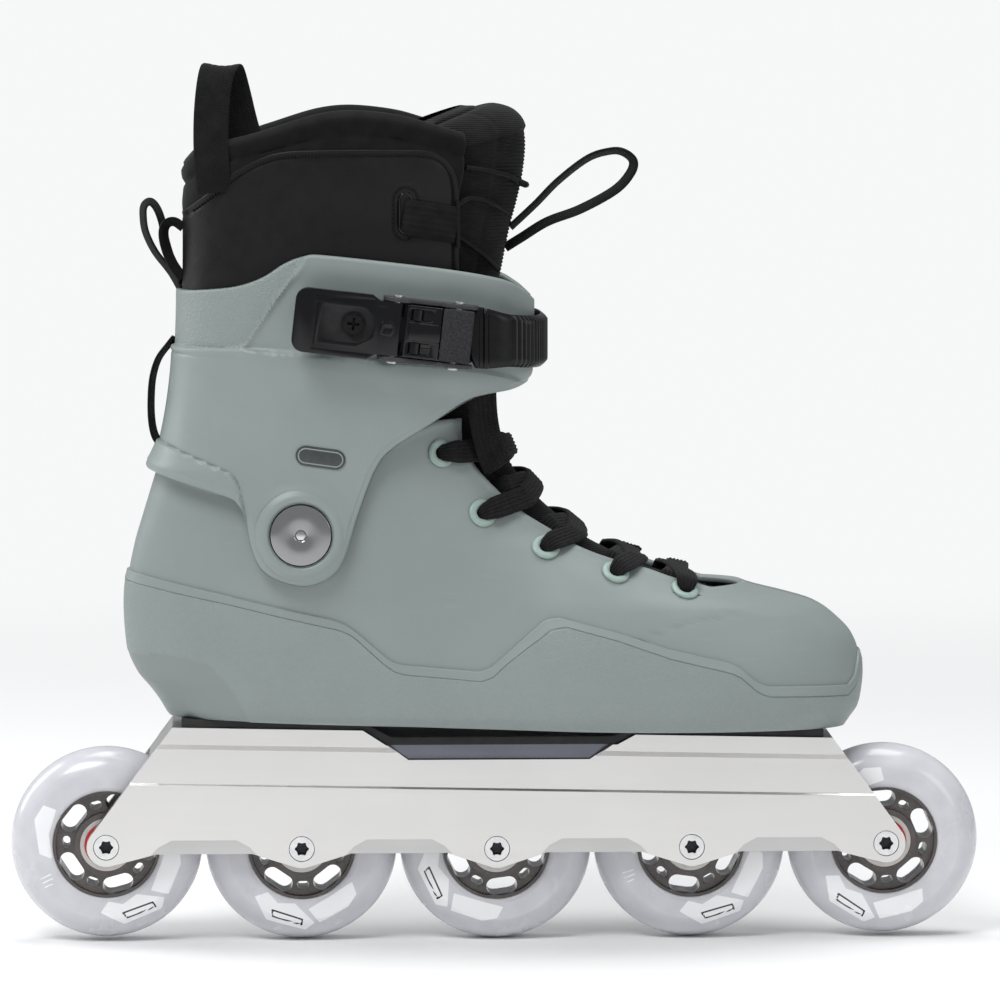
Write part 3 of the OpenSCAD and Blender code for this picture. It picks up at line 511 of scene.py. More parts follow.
def wheel_materials():
    s = plain("tyre_urethane", (0.60, 0.60, 0.635), 0.22, (11, 0.04), (14, 0.16, 0.3), (3, 3, 0.02),
              Subsurface_Weight=0.6, Subsurface_Scale=0.006, Specular_IOR_Level=0.5, Coat_Weight=0.15,
              Coat_Roughness=0.1)
    s.bsdf.inputs["Subsurface Radius"].default_value = (1, 1, 1.1)
    s.paint(s.range(s.value("print"), -0.05, 0.05), (0.86, 0.86, 0.88))
    s.paint(s.range(s.value("ink"), -0.05, 0.05), (0.03, 0.03, 0.035))
    M["tyre"] = s.material
    M["hub"] = plain("hub_nylon", (0.060, 0.048, 0.045), 0.28, (6, 0.2), (5, 0.2, 0.42), (0.6, 3, 0.015),
                     Specular_IOR_Level=0.6, Coat_Weight=0.25).material
    M["shield"] = plain("shield_red", (0.52, 0.035, 0.035), 0.32, (3, 0.12), (1.5, 0.25, 0.45),
                        (0.35, 3, 0.01), Metallic=0.35).material
    M["hub_ring"] = plain("race_pale", (0.52, 0.50, 0.48), 0.35, None, (2, 0.28, 0.42), (0.4, 3, 0.006),
                          Metallic=0.6).material


def metal_materials():
    M["steel"] = plain("bearing_steel", (0.66, 0.66, 0.68), 0.18, None, (2, 0.12, 0.28), (0.4, 3, 0.004),
                       Metallic=1.0).material
    M["zinc"] = plain("zinc_steel", (0.60, 0.60, 0.61), 0.3, (2.5, 0.1), (1.5, 0.2, 0.42), (0.5, 4, 0.012),
                      Metallic=1.0).material
    brushed = (0.9, 2, 0.0006, (0.012, 1, 1))
    M["aluminium"] = plain("brushed_aluminium", (0.72, 0.71, 0.70), 0.3, (60, 0.02),
                           (1.5, 0.29, 0.33, 2, (0.02, 1, 1)), brushed, Metallic=1.0,
                           Anisotropic=0.4).material
    # a darker copy of the aluminium for the frame's set-in faces: painted shade
    M["recess"] = plain("satin_recess", (0.60, 0.595, 0.59), 0.36, (40, 0.03),
                        (1.5, 0.33, 0.39, 2, (0.02, 1, 1)), brushed, Metallic=1.0).material
    # dark bluish base colour for the frame's shoulder: painted shade and dark reflection on the polished
    # aluminium
    M["shoulder"] = plain("polished_shoulder", (0.14, 0.145, 0.17), 0.2, (30, 0.05),
                          (3, 0.16, 0.28, 4, (0.05, 1, 1)), (0.5, 3, 0.003, (0.02, 1, 1)),
                          Metallic=1.0).material
    M["axle"] = plain("axle_satin", (0.80, 0.80, 0.80), 0.34, (3, 0.05), (1.2, 0.28, 0.42), (0.4, 3, 0.006),
                      Metallic=0.9).material
    # near-black for the axles' star sockets: painted shade inside the holes
    M["socket"] = plain("axle_socket", (0.035, 0.036, 0.040), 0.4, (1.0, 0.2), (0.8, 0.3, 0.5),
                        (0.3, 3, 0.008), Metallic=0.8).material
    M["spacer"] = plain("turned_aluminium", (0.80, 0.80, 0.82), 0.28, None, (1.0, 0.2, 0.36),
                        (0.4, 3, 0.01, (1, 0.05, 1)), Metallic=1.0).material


def black_materials():
    M["rubber"] = plain("black_rubber", (0.014, 0.014, 0.015), 0.7, (5, 0.25), None, (0.7, 4, 0.05)).material
    s = plain("black_nylon", (0.007, 0.007, 0.008), 0.42, None, (3, 0.36, 0.52), Specular_IOR_Level=0.3)
    s.bump(s.cells(0.7), 0.02)
    M["nylon"] = s.material
    s = plain("buckle_gloss", (0.003, 0.003, 0.004), 0.14, None, (8, 0.10, 0.24), (6, 2, 0.03),
              Coat_Weight=0.2, Coat_Roughness=0.05, Specular_IOR_Level=0.3)
    scratches = s.range(s.noise(18, 6, (1, 1, 9)), 0.68, 0.74)
    s.paint(s.maths("MULTIPLY", scratches, 0.2), (0.09, 0.09, 0.1))
    M["gloss"] = s.material
    M["plate"] = plain("buckle_plate", (0.040, 0.040, 0.042), 0.45, (4, 0.12), None, (0.5, 3, 0.02),
                       Specular_IOR_Level=0.35).material
    s = plain("latch_grip", (0.022, 0.022, 0.024), 0.75, (0.8, 0.35, 2), Specular_IOR_Level=0.25)
    s.bump(s.cells(0.55), 0.06)
    M["grip"] = s.material
    s = plain("strap_nylon", (0.004, 0.004, 0.0045), 0.3, None, (4, 0.25, 0.38), (0.8, 3, 0.015),
              Specular_IOR_Level=0.25)
    # lighter along each rib's crest edge, where the mesh's edge value says: a painted highlight
    s.paint(s.value("edge"), (0.075, 0.075, 0.08))
    M["strap"] = s.material


def cloth_materials():
    M["liner"] = fabric("liner_fabric", (0.006, 0.006, 0.0065), 0.55, 0.05, 0.05)
    M["webbing"] = fabric("webbing_weave", (0.008, 0.008, 0.0085), 0.8, 0.14, 0.08)
    M["foam"] = fabric("footbed_cloth", (0.024, 0.024, 0.027), 0.7, 0.06, 0.3)

    s = plain("tongue_knit", (0.006, 0.006, 0.0065), 0.85, (5, 0.3), Sheen_Weight=0.05,
              Specular_IOR_Level=0.2)
    s.bump(s.waves(0.75, (0, 90, 0)), 0.22)
    s.bump(s.noise(0.7, 3), 0.05)
    M["knit"] = s.material

    s = plain("liner_leather", (0.008, 0.0075, 0.0078), 0.42, (16, 0.12), (5, 0.36, 0.52),
              Specular_IOR_Level=0.2)
    s.bump(s.cells(0.8, "SMOOTH_F1"), 0.045)
    s.bump(s.noise(14, 3), 0.25)
    M["leather"] = s.material

    M["thread"] = plain("stitch_thread", (0.003, 0.003, 0.003), 0.6, (0.5, 0.4), None, (0.3, 3, 0.04),
                        Specular_IOR_Level=0.2).material

    s = plain("lace_weave", (0.006, 0.006, 0.0065), 0.8, (2.5, 0.35), Sheen_Weight=0.06,
              Specular_IOR_Level=0.2)
    s.bump(s.waves(0.9, (0, 35, 30)), 0.12)
    s.bump(s.waves(0.9, (0, -40, -30)), 0.12)
    M["lace"] = s.material


boot_materials()
wheel_materials()
metal_materials()
black_materials()
cloth_materials()


# ================================================================ CAD nodes that stay

def keep_node(name, material, bevel=0.3, flat=False):
    """Gives a CAD node its finish and softens its edges."""
    obj = NODES[name]
    obj.data.materials.clear()
    obj.data.materials.append(material)
    weld = obj.modifiers.new("weld", "WELD")
    weld.merge_threshold = 2e-6
    if flat:
        merge = obj.modifiers.new("merge", "DECIMATE")
        merge.decimate_type, merge.angle_limit = "DISSOLVE", math.radians(0.6)
        merge.delimit = {"MATERIAL"}
    if bevel:
        mod = obj.modifiers.new("bevel", "BEVEL")
        mod.width, mod.segments = bevel * MM, 2
        mod.limit_method, mod.angle_limit = "ANGLE", math.radians(35)
    for poly in obj.data.polygons:
        poly.use_smooth = not flat
    if not flat:
        normal = obj.modifiers.new("normals", "WEIGHTED_NORMAL")
        normal.weight = 80
    return obj


AXLES = [np.array(JOINTS[f"wheel_spin_{n}"]["pos_m"]) / MM for n in range(1, 6)]
RACE_INNER_R = 9.0
SOCKET_R = 3.0
HEAD_Y = 15.0
SHOULDER_Z, SHOULDER_X, SHOULDER_Y = (76.8, 84.5), (-46, 50), (15.0, 19.0)
RECESS_Y, RECESS_TOP = 15.5, 44.5


def face_spots(obj):
    """Each face of a CAD node with its middle in millimetres."""
    for poly in obj.data.polygons:
        yield poly, obj.matrix_world @ poly.center / MM


def keep_wheel_parts():
    for n, axle in enumerate(AXLES, 1):
        keep_node(f"hub_{n}", M["hub"], 0.25)
        keep_node(f"bearing_balls_{n}", M["steel"], 0)
        race = keep_node(f"bearing_outers_{n}", M["shield"], 0.12)
        race.data.materials.append(M["hub_ring"])
        for poly, spot in face_spots(race):
            if math.hypot(spot.x - axle[0], spot.z - axle[2]) > RACE_INNER_R:
                poly.material_index = 1


def keep_axles():
    """The axles, with their star sockets painted dark for the shade inside them."""
    axles = keep_node("axles", M["axle"])
    axles.data.materials.append(M["socket"])
    for poly, spot in face_spots(axles):
        gap = min(math.hypot(spot.x - axle[0], spot.z - axle[2]) for axle in AXLES)
        poly.material_index = int(gap < SOCKET_R and abs(spot.y) > HEAD_Y)


def keep_frame():
    """The frame, with its polished shoulder painted dark for the shade and dark reflection on it, and its
    set-in faces painted darker for the shade in them.
    """
    body = keep_node("frame", M["aluminium"], 0.35, flat=True)
    body.data.materials.append(M["shoulder"])
    body.data.materials.append(M["recess"])
    points = [body.matrix_world @ v.co / MM for v in body.data.vertices]
    plate_y = max(abs(p.y) for p in points if p.z < 44)
    for poly, spot in face_spots(body):
        # the shoulder faces get the dark copy: painted shade and reflection
        on_shoulder = SHOULDER_Z[0] < spot.z < SHOULDER_Z[1] and SHOULDER_X[0] < spot.x < SHOULDER_X[1]
        poly.material_index = int(on_shoulder and SHOULDER_Y[0] < abs(spot.y) < SHOULDER_Y[1])
        # the set-in faces get the darker recess copy: painted shade
        set_in = RECESS_Y < abs(spot.y) < plate_y - 0.15 and spot.z < RECESS_TOP
        if set_in and abs(poly.normal.z) < 0.5 and abs(poly.normal.x) < 0.5:
            poly.material_index = 2


def keep_small_parts():
    for name, finish, bevel in [
        ("bearing_inners", "steel", 0.15), ("bearing_spacers", "spacer", 0.2),
        ("damping_plate", "rubber", 0.4), ("mount_bolts", "zinc", 0.3), ("mount_washers", "zinc", 0.15),
        ("mount_inserts", "zinc", 0.2), ("cuff_nuts", "zinc", 0.2), ("cuff_bushings", "nylon", 0.1),
        ("buckle_screw", "nylon", 0.25), ("lever_pin", "zinc", 0.3), ("latch_pin", "zinc", 0.3),
        ("buckle_springs", "steel", 0), ("strap_screw", "nylon", 0.3),
    ]:
        keep_node(name, M[finish], bevel)


keep_wheel_parts()
keep_axles()
keep_frame()
keep_small_parts()


# ================================================================ wheels

TYRE_R, TYRE_CORE, TYRE_HALF, CROWN = 40.0, 22.4, 12.0, 12.5
PRINT_TURN = [24, -14, -62, 20, -30]
WHITE_PANELS = [
    [(-14, -25), (-7, -33.5), (10, -34), (13, -30), (3, -24), (-4, -25.5), (-9, -22)],
    [(16, -18), (24, -9.5), (27, -14), (25, -20), (15, -29.5), (9, -25)],
    [(-27, 8), (-23, 22), (-17, 26), (-13, 22), (-20, 14), (-23, 4)],
    *([(-31, y), (end, y), (end, y + 0.6), (-31, y + 0.6)] for y, end in ((-2, -26), (-4, -26), (-6, -27))),
]
INKED_PANEL = [(-6, -28.5), (8, -29.5), (8.4, -32.5), (-5, -31.8)]


def tyre_profile():
    """(radius, side) points round the tyre's section, with rounded inner shoulders."""
    flat = TYRE_R - CROWN + math.sqrt(CROWN ** 2 - TYRE_HALF ** 2)
    radii = np.linspace(TYRE_CORE + 0.5, flat, 22)
    out = [(r, -TYRE_HALF + 0.35 * (1 - smooth((r - TYRE_CORE - 0.5) / 1.4))) for r in radii]
    start = math.asin(TYRE_HALF / CROWN)
    for a in np.linspace(-start, start, 40)[1:-1]:
        out.append((TYRE_R - CROWN + CROWN * math.cos(a), CROWN * math.sin(a)))
    out += [(r, -side) for r, side in out[:len(radii)]][::-1]
    return [*out, (TYRE_CORE, TYRE_HALF - 0.9), (TYRE_CORE, -TYRE_HALF + 0.9)]


def polygon_depth(x, y, points):
    """Signed distance to a polygon's edge, positive inside."""
    closed = [*points, points[0]]
    return np.where(inside(x, y, points), 1, -1) * distance_to(x, y, closed)


def build_tyres():
    """The tyres, each with plain panels printed on its flat sides."""
    points, faces = lathe(tyre_profile(), 300)
    x, y, side = points.T
    on_side = np.abs(side) > 8
    for n, (axle, turn) in enumerate(zip(AXLES, np.radians(PRINT_TURN)), 1):
        u, v = x * math.cos(turn) + y * math.sin(turn), -x * math.sin(turn) + y * math.cos(turn)
        white = np.max([polygon_depth(u, v, panel) for panel in WHITE_PANELS], axis=0)
        ink = polygon_depth(u, v, INKED_PANEL)
        layers = {"print": np.where(on_side, white, -2),
                  "ink": np.where(on_side, np.minimum(ink, 0.7 - ink), -2)}
        make(f"urethane_tyre_{n}", place(points, axle, (1, 0, 0), (0, -1, 0)), faces, M["tyre"], f"wheel_{n}",
             "tyre", [f"tyre_{n}"], layers, sharp=60)


build_tyres()


# ================================================================ shell

SHELL_HALF = 54.0
WALL = 3.2
SOLE_Z = 92.5
OPEN_Z = 150.6
RIM = 1.5
SLOPE = math.tan(math.radians(1.15))
PIVOT = np.array(JOINTS["cuff_flex"]["pos_m"])[[0, 2]] / MM
EYELETS = [(-23.4, 206.3), (-6.4, 181.5), (19.6, 167.5), (48.4, 157.2), (77.3, 149.7)]
EYELET_HOLE_R = 4.3
PIVOT_HOLE_R = 7
BACK_BOW = 2.7

# side-view lines of the shell: x by height at the heel, the toe and the throat's edge
heel_line = line([
    (92, -136), (98, -139.2), (104.3, -143.8), (110.6, -149), (121, -153), (142, -154.3), (152.5, -153.6),
    (167, -150.9), (179.6, -147.2), (198, -141.6), (214, -137)])
toe_line = line([
    (92, 146.3), (98, 150), (104.3, 152.2), (114.8, 153.4), (123.2, 152.6), (129.4, 150), (135.7, 143.8),
    (142, 134), (145.5, 122), (148.3, 110.4), (154.6, 90.3), (160.8, 74.4), (167, 59.8), (173.4, 43),
    (179.7, 33.4), (186, 25.9), (198.5, 13.4), (214, 1)])
# the shell's half width as a share of SHELL_HALF: by x low down and at the ankle, and by height
sole_plan = line([(-154, .6), (-120, .73), (-80, .77), (-40, .78), (0, .87), (40, .98), (70, 1), (110, .96),
                  (153, .86)])
ankle_plan = line([(-154, .58), (-120, .75), (-81, .82), (-50, .8), (-20, .78), (10, .8), (40, .87),
                   (90, .86)])
edge_round = line([(92.5, .86), (94, .91), (97, .95), (102, .98), (108, 1)])
front_bow = line([(118, 2.9), (140, 2.6), (153, 2.3), (166, 1.9), (185, 1.75), (214, 1.75)])
throat_edge = line([
    (149, 93.5), (151.6, 84.9), (154.9, 72.7), (158.9, 61.6), (162.3, 49.5), (168.2, 33.9), (174.6, 23),
    (182.6, 10.3), (191.5, .2), (201.2, -8.4), (211.4, -13.8)])
# height of the shell's collar and of the step round it, by x
collar_edge = line([(-142, 201.8), (-128, 197), (-112, 193.5), (-96, 197), (-72, 210.5), (-60, 211),
                    (-46, 212.5), (-34, 217), (-24, 219.6), (-10, 220), (60, 220)])
SEAM = [(-156, 156.6), (-152.9, 156.1), (-116, 148.8), (-91.8, 143.2), (-67.6, 137.9), (-61.6, 135.2),
        (-44.7, 120.5), (-40, 119), (-8.6, 117.1), (-4, 118.6), (18.4, 138.9), (23.9, 140), (46.9, 134.2),
        (68.8, 127.5), (94.2, 121.8), (98.7, 120.1), (106.6, 113.8), (111.1, 112), (146.5, 110.9),
        (149.5, 114), (151.2, 120), (152, 123), (156, 123)]


def bow(u, n):
    """Height of a rounded arch of width -1..1; a larger n gives squarer shoulders."""
    return np.clip(1 - np.clip(np.abs(u), 0, 1) ** n, 0, 1) ** (1 / n)


def bend(x):
    """The toe curves to the inner side of the foot."""
    return 5 * smooth((x - 30) / 120)


def droop(x, z):
    """The lower shell slopes down to the toe, so its lines are given level and then tipped."""
    return SLOPE * x * (1 - smooth((z - 104) / 50))


def shell_half(x, z):
    """Half width of the shell at a side-view place."""
    return SHELL_HALF * edge_round(z) * mix(sole_plan(x), ankle_plan(x), smooth((z - 115) / 45))


def reach_at(z):
    """How far round the wall the throat's edge lies at each height."""
    z = np.maximum(z, OPEN_Z)
    share = np.clip((throat_edge(z) - heel_line(z)) / (toe_line(z) - heel_line(z)), 0, 1)
    return np.arccos(1 - 2 * share)


def angle_of(s, z):
    """Angle round the wall of column s: up to 1 is the side wall, from 1 to 2 the top of the toe."""
    front = mix(reach_at(OPEN_Z), math.pi, np.clip(np.abs(s) - 1, 0, 1))
    return np.sign(s) * np.where(np.abs(s) <= 1, np.abs(s) * reach_at(z), front)


def shell_at(a, z):
    """Point on the plain shell at an angle round it from the heel."""
    b, f = heel_line(z), toe_line(z)
    x = mix(b, f, (1 - np.cos(a)) / 2)
    u = (2 * x - b - f) / (f - b)
    n = np.where(u > 0, front_bow(z), BACK_BOW)
    y = shell_half(x, z) * bow(u, n) * np.sign(np.sin(a))
    return np.stack([x, y + bend(x), z - droop(x, z)], axis=-1)


def shell_normal(a, z):
    """Outward normal of the plain shell."""
    up, along = shell_at(a, z + 0.3) - shell_at(a, z - 0.3), shell_at(a + 0.01, z) - shell_at(a - 0.01, z)
    return unit(np.cross(up, along))


def shell_point(s, z):
    """Point on the plain shell at column s."""
    return shell_at(angle_of(s, z), z)


def solve_height(s, edge, start):
    """Height at which each column meets a side-view line z = edge(x)."""
    z = np.full(s.shape, start, float)
    for _ in range(40):
        z = mix(z, edge(shell_point(s, z)[..., 0]), 0.5)
    return z


def polyline(points):
    """A curve v(u) of straight stretches through (u, v) points."""
    u, v = np.array(points, float).T
    return lambda x: np.interp(x, u, v)


def shell_columns():
    """Column places round the shell, closer together at the throat's edge."""
    side = np.concatenate([np.linspace(0, 1, 151)[1:], 1 - np.array([0.0012, 0.003, 0.0055])])
    front = np.concatenate([[1.02], np.linspace(1, 2, 28)[1:]])
    half = np.unique(np.concatenate([side, front]))
    return np.concatenate([-half[::-1], [0], half])


def shell_rows(s):
    """Height of every row at every column, how far each lies below the seam, and the number of rows under
    the throat's front end."""
    z_seam = solve_height(s, polyline(SEAM), 125)
    z_top = np.minimum(solve_height(s, collar_edge, 205), 220)
    degrees = np.degrees(np.abs(angle_of(s, OPEN_Z)))
    z_mid = OPEN_Z + 12.4 * (1 - smooth((degrees - 45) / 25))
    steps = np.array([5.8, 5.0, 4.5, 4.15, 3.8, 3.4, 2.7, 1.9, 1.2, 0.7, 0.35, 0.15, 0])
    low = [mix(z_seam - steps[0], SOLE_Z, share) for share in np.linspace(1, 0, 34)[:-1]]
    ledge = [z_seam - down for down in steps]
    middle = [mix(z_seam + 0.3, z_mid, share) for share in [*np.linspace(0, 1, 26)[:-1], 0.985, 0.994, 1]]
    side = np.abs(s) <= 1
    shares = [*np.linspace(0, 1, 96)[1:-1], 0.993, 0.997, 1]
    high = [np.where(side, mix(z_mid, z_top, share), z_mid) for share in shares]
    rows = np.array(low + ledge + middle + high)
    under = len(low + ledge + middle)
    down = z_seam[None] - rows
    down[:len(low + ledge)] = np.maximum(0, down[:len(low + ledge)])
    down[len(low + ledge):] = -1
    return rows, down, under


def shell_relief(x, z, down):
    """Height of the shell's steps, seams and hollows over its plain form."""
    proud = np.interp(down, [-1, -0.01, 0, 0.15, 0.35, 1.2, 3.8, 4.15, 4.5, 5.0],
                      [-0.6, -0.6, -0.6, 0.25, 0.45, 0.5, 0.9, 0.5, 0.8, 0.8])
    d = proud * (1 - 0.999 * smooth((98 - z) / 5))
    toe_seam = path([(59.4, 130), (65.3, 133.3), (75.5, 136.4), (88.3, 138.4), (101.5, 140.1),
                     (110.3, 140.6), (124, 140.3)], 60)
    d += np.where(down < 0, groove(distance_to(x, z, toe_seam), 0.6, 0.5), 0)
    heel_patch = path([(-158, 122), (-140, 122), (-128, 121), (-119, 118), (-112, 111), (-106, 101),
                       (-101.5, 88)], 60)
    to_patch = distance_to(x, z, heel_patch)
    in_patch = inside(x, z, [(-170, 80), (-170, 122), *map(tuple, heel_patch), (-101.5, 80)]) & (down > 5)
    d += np.where(down > 5, groove(to_patch, 0.25, 0.6), 0)
    d -= np.where(in_patch, 0.35 * smooth(to_patch / 1.0), 0)
    # the sides draw in over the arch
    d -= 1.2 * np.exp(-((x + 25) / 34) ** 2 - ((z - 139) / 15) ** 2)
    return d, in_patch


def sole_rows(row, shares):
    """Rows that close the bottom under a grid's lowest row, at shares of its width."""
    rows = np.repeat(row[None], len(shares), axis=0)
    middle = bend(row[:, 0])
    rows[..., 1] = middle + (row[:, 1] - middle) * np.array(shares)[:, None]
    return rows


def throat_line(grid, s, under):
    """Points along the edge of the shell's opening, from the left of the throat's front end to its right."""
    side = np.where(np.abs(s) <= 1)[0]
    front_left, front_right = np.where(s <= -1)[0], np.where(s >= 1)[0]
    return np.concatenate([grid[under - 1, front_left], grid[under:, side[0]], grid[-1, side],
                           grid[under:, side[-1]][::-1], grid[under - 1, front_right]])


def build_shell():
    """The hard shell, with its lower band, throat, eyelet holes and pivot holes."""
    s = shell_columns()
    z, down, under = shell_rows(s)
    a = angle_of(s[None], z)
    grid, n = shell_at(a, z), shell_normal(a, z)
    d, in_patch = shell_relief(grid[..., 0], grid[..., 2], down)
    near = distance_3d(grid, throat_line(grid, s, under))
    cut = round_over(near, RIM)
    roll = 0.5 * np.exp(-((near - 2.2) / 1.3) ** 2)
    outer = grid + n * (d + roll - cut)[..., None]
    inner = grid + n * (cut - WALL - 0.6)[..., None]
    inner[..., 2] = np.maximum(inner[..., 2], SOLE_Z + 8 - droop(inner[..., 0], 92.5))
    shares = [0, 0.25, 0.5, 0.75, 0.93]
    outer = np.concatenate([sole_rows(outer[0], shares), outer])
    inner = np.concatenate([sole_rows(inner[0], shares), inner])
    sole = len(shares)
    mid = (outer[:-1, :-1] + outer[1:, 1:]) / 2
    to_pivot = np.hypot(mid[..., 0] - PIVOT[0], mid[..., 2] - PIVOT[1])
    keep = ~((np.abs(mid[..., 1]) > 30) & (to_pivot < PIVOT_HOLE_R))
    front = (np.abs(s[:-1]) > 0.9999) | (np.abs(s[1:]) > 1.0001)
    front &= (s[:-1] >= 1) | (s[1:] <= -1)
    keep[sole + under - 1:, front] = False
    for spot in EYELETS:
        for hand in (-1, 1):
            keep &= np.linalg.norm(mid - on_shell(spot, hand)[0], axis=-1) > EYELET_HOLE_R
    points, faces = sheet(outer, inner, keep)
    grain = np.where((down > 4.3) & ~in_patch, 1.0, np.where(down > 4.3, 0.25, 0.12))
    layers = {}
    for key, value, below in (("grain", grain, 0.5), ("shade", np.where(in_patch, 0.45, 0.0), 0)):
        skin = np.concatenate([np.full((sole, value.shape[1]), below), value])
        layers[key] = np.concatenate([skin.ravel(), 0 * skin.ravel()])
    make("hard_shell", points, faces, M["shell"], "boot", "shell_plastic", ["shell"], layers, sharp=50)


def on_shell(spot, side):
    """Point and outward normal on the shell at a side-view place, on the given side."""
    x, z = spot

    def at(px, pz):
        z0 = pz
        for _ in range(3):
            z0 = pz + droop(px, z0)
        b, f = heel_line(z0), toe_line(z0)
        u = (2 * px - b - f) / (f - b)
        n = front_bow(z0) if u > 0 else BACK_BOW
        return np.array([px, side * float(shell_half(px, z0) * bow(u, n)) + float(bend(px)), pz])

    n = outward_normal(at, x, z, side)
    return at(x, z) - n * 0.5, n


build_shell()


def build_eyelets():
    """The plastic rings in the lace holes, rolled over their edges."""
    roll = np.radians(np.linspace(-30, 210, 15))
    section = [(4.25 + 1.65 * math.cos(a), 0.25 + 0.95 * math.sin(a)) for a in roll]
    section += [(2.55, -0.4), (2.5, -3.2), (3.0, -3.2), (3.1, -0.6), (5.6, -0.6)]
    points, faces = lathe(section, 48)
    parts = []
    for c, n in [on_shell(spot, side) for spot in EYELETS for side in (-1, 1)]:
        parts.append((place(points, c + n * 0.2, (1, 0, 0.1), n), faces))
    make("eyelet_rings", *join(parts), M["eyelet"], "boot", "eyelet", ["eyelets"])


build_eyelets()


# ================================================================ cuff

CUFF_REACH = math.radians(168)
CUFF_BOW = 2.6
BOSS_HOLE_R = 13.6
cuff_back = line([(150, -147), (198, -145.4), (204, -142.4), (210, -140), (250, -134.6), (273, -134),
                  (290, -134.5)])
cuff_front = line([(150, 12), (232, 14.5), (240, 17), (270, 17.6), (290, 17)])
cuff_half = line([(150, 48), (200, 48), (230, 47.5), (255, 48.5), (290, 48.8)])
CUFF_TOP = path([(-136, 273.2), (-125, 273.8), (-108.7, 275.8), (-97.6, 279.6), (-88, 285.6), (-80, 288.4),
                 (-70, 288.6), (-24.4, 283.3), (.7, 278.7), (10, 274.5), (15.5, 270), (19, 266)], 160)
CUFF_LOW = path([(-148, 200), (-145.4, 199), (-112.8, 189.6), (-107.4, 186.2), (-104.6, 181),
                 (-101.7, 167.5), (-97.6, 159.3), (-90.2, 154.9), (-79.9, 152.8), (-70.2, 156),
                 (-64, 163.5), (-57.3, 184), (-50.5, 201.4), (-43.7, 209.3), (-28.4, 218.8), (-11.8, 228.3),
                 (-4, 230.6), (5.1, 231.9), (12.5, 233.4), (18.5, 236.4)], 260)
LEDGE = [(-105.5, 249.8), (-60, 246.4), (-20.8, 242.9), (-6, 240.2), (4.2, 237.5), (14, 233.5)]
PANEL = [(-79, 300), (-80.5, 286), (-91.8, 270.4), (-101.5, 255.5), (-104, 252), (-108, 250.2), (-114, 249.8),
         (-150, 249.8), (-150, 300)]
BAND_LINE = path([(-148, 213), (-139.7, 210.6), (-114.5, 200.8), (-109.6, 198), (-106.8, 193.5),
                  (-105.2, 186), (-103.2, 178), (-98.5, 164), (-93, 158)], 80)


def cuff_point(s, z):
    """Point on the plain cuff: s runs from -1 to 1 round it, through 0 at the heel."""
    a = s * CUFF_REACH
    c = np.cos(a)
    x = mix(cuff_back(z), cuff_front(z), (1 - c) / 2)
    return np.stack([x, cuff_half(z) * bow(c, CUFF_BOW) * np.sign(s), z], axis=-1)


def cuff_height(s, edge, start):
    """Height at which each column meets a side-view line z = edge(x)."""
    z = np.full(s.shape, start, float)
    for _ in range(60):
        z = mix(z, edge(cuff_point(s, z)[..., 0]), 0.4)
    return z


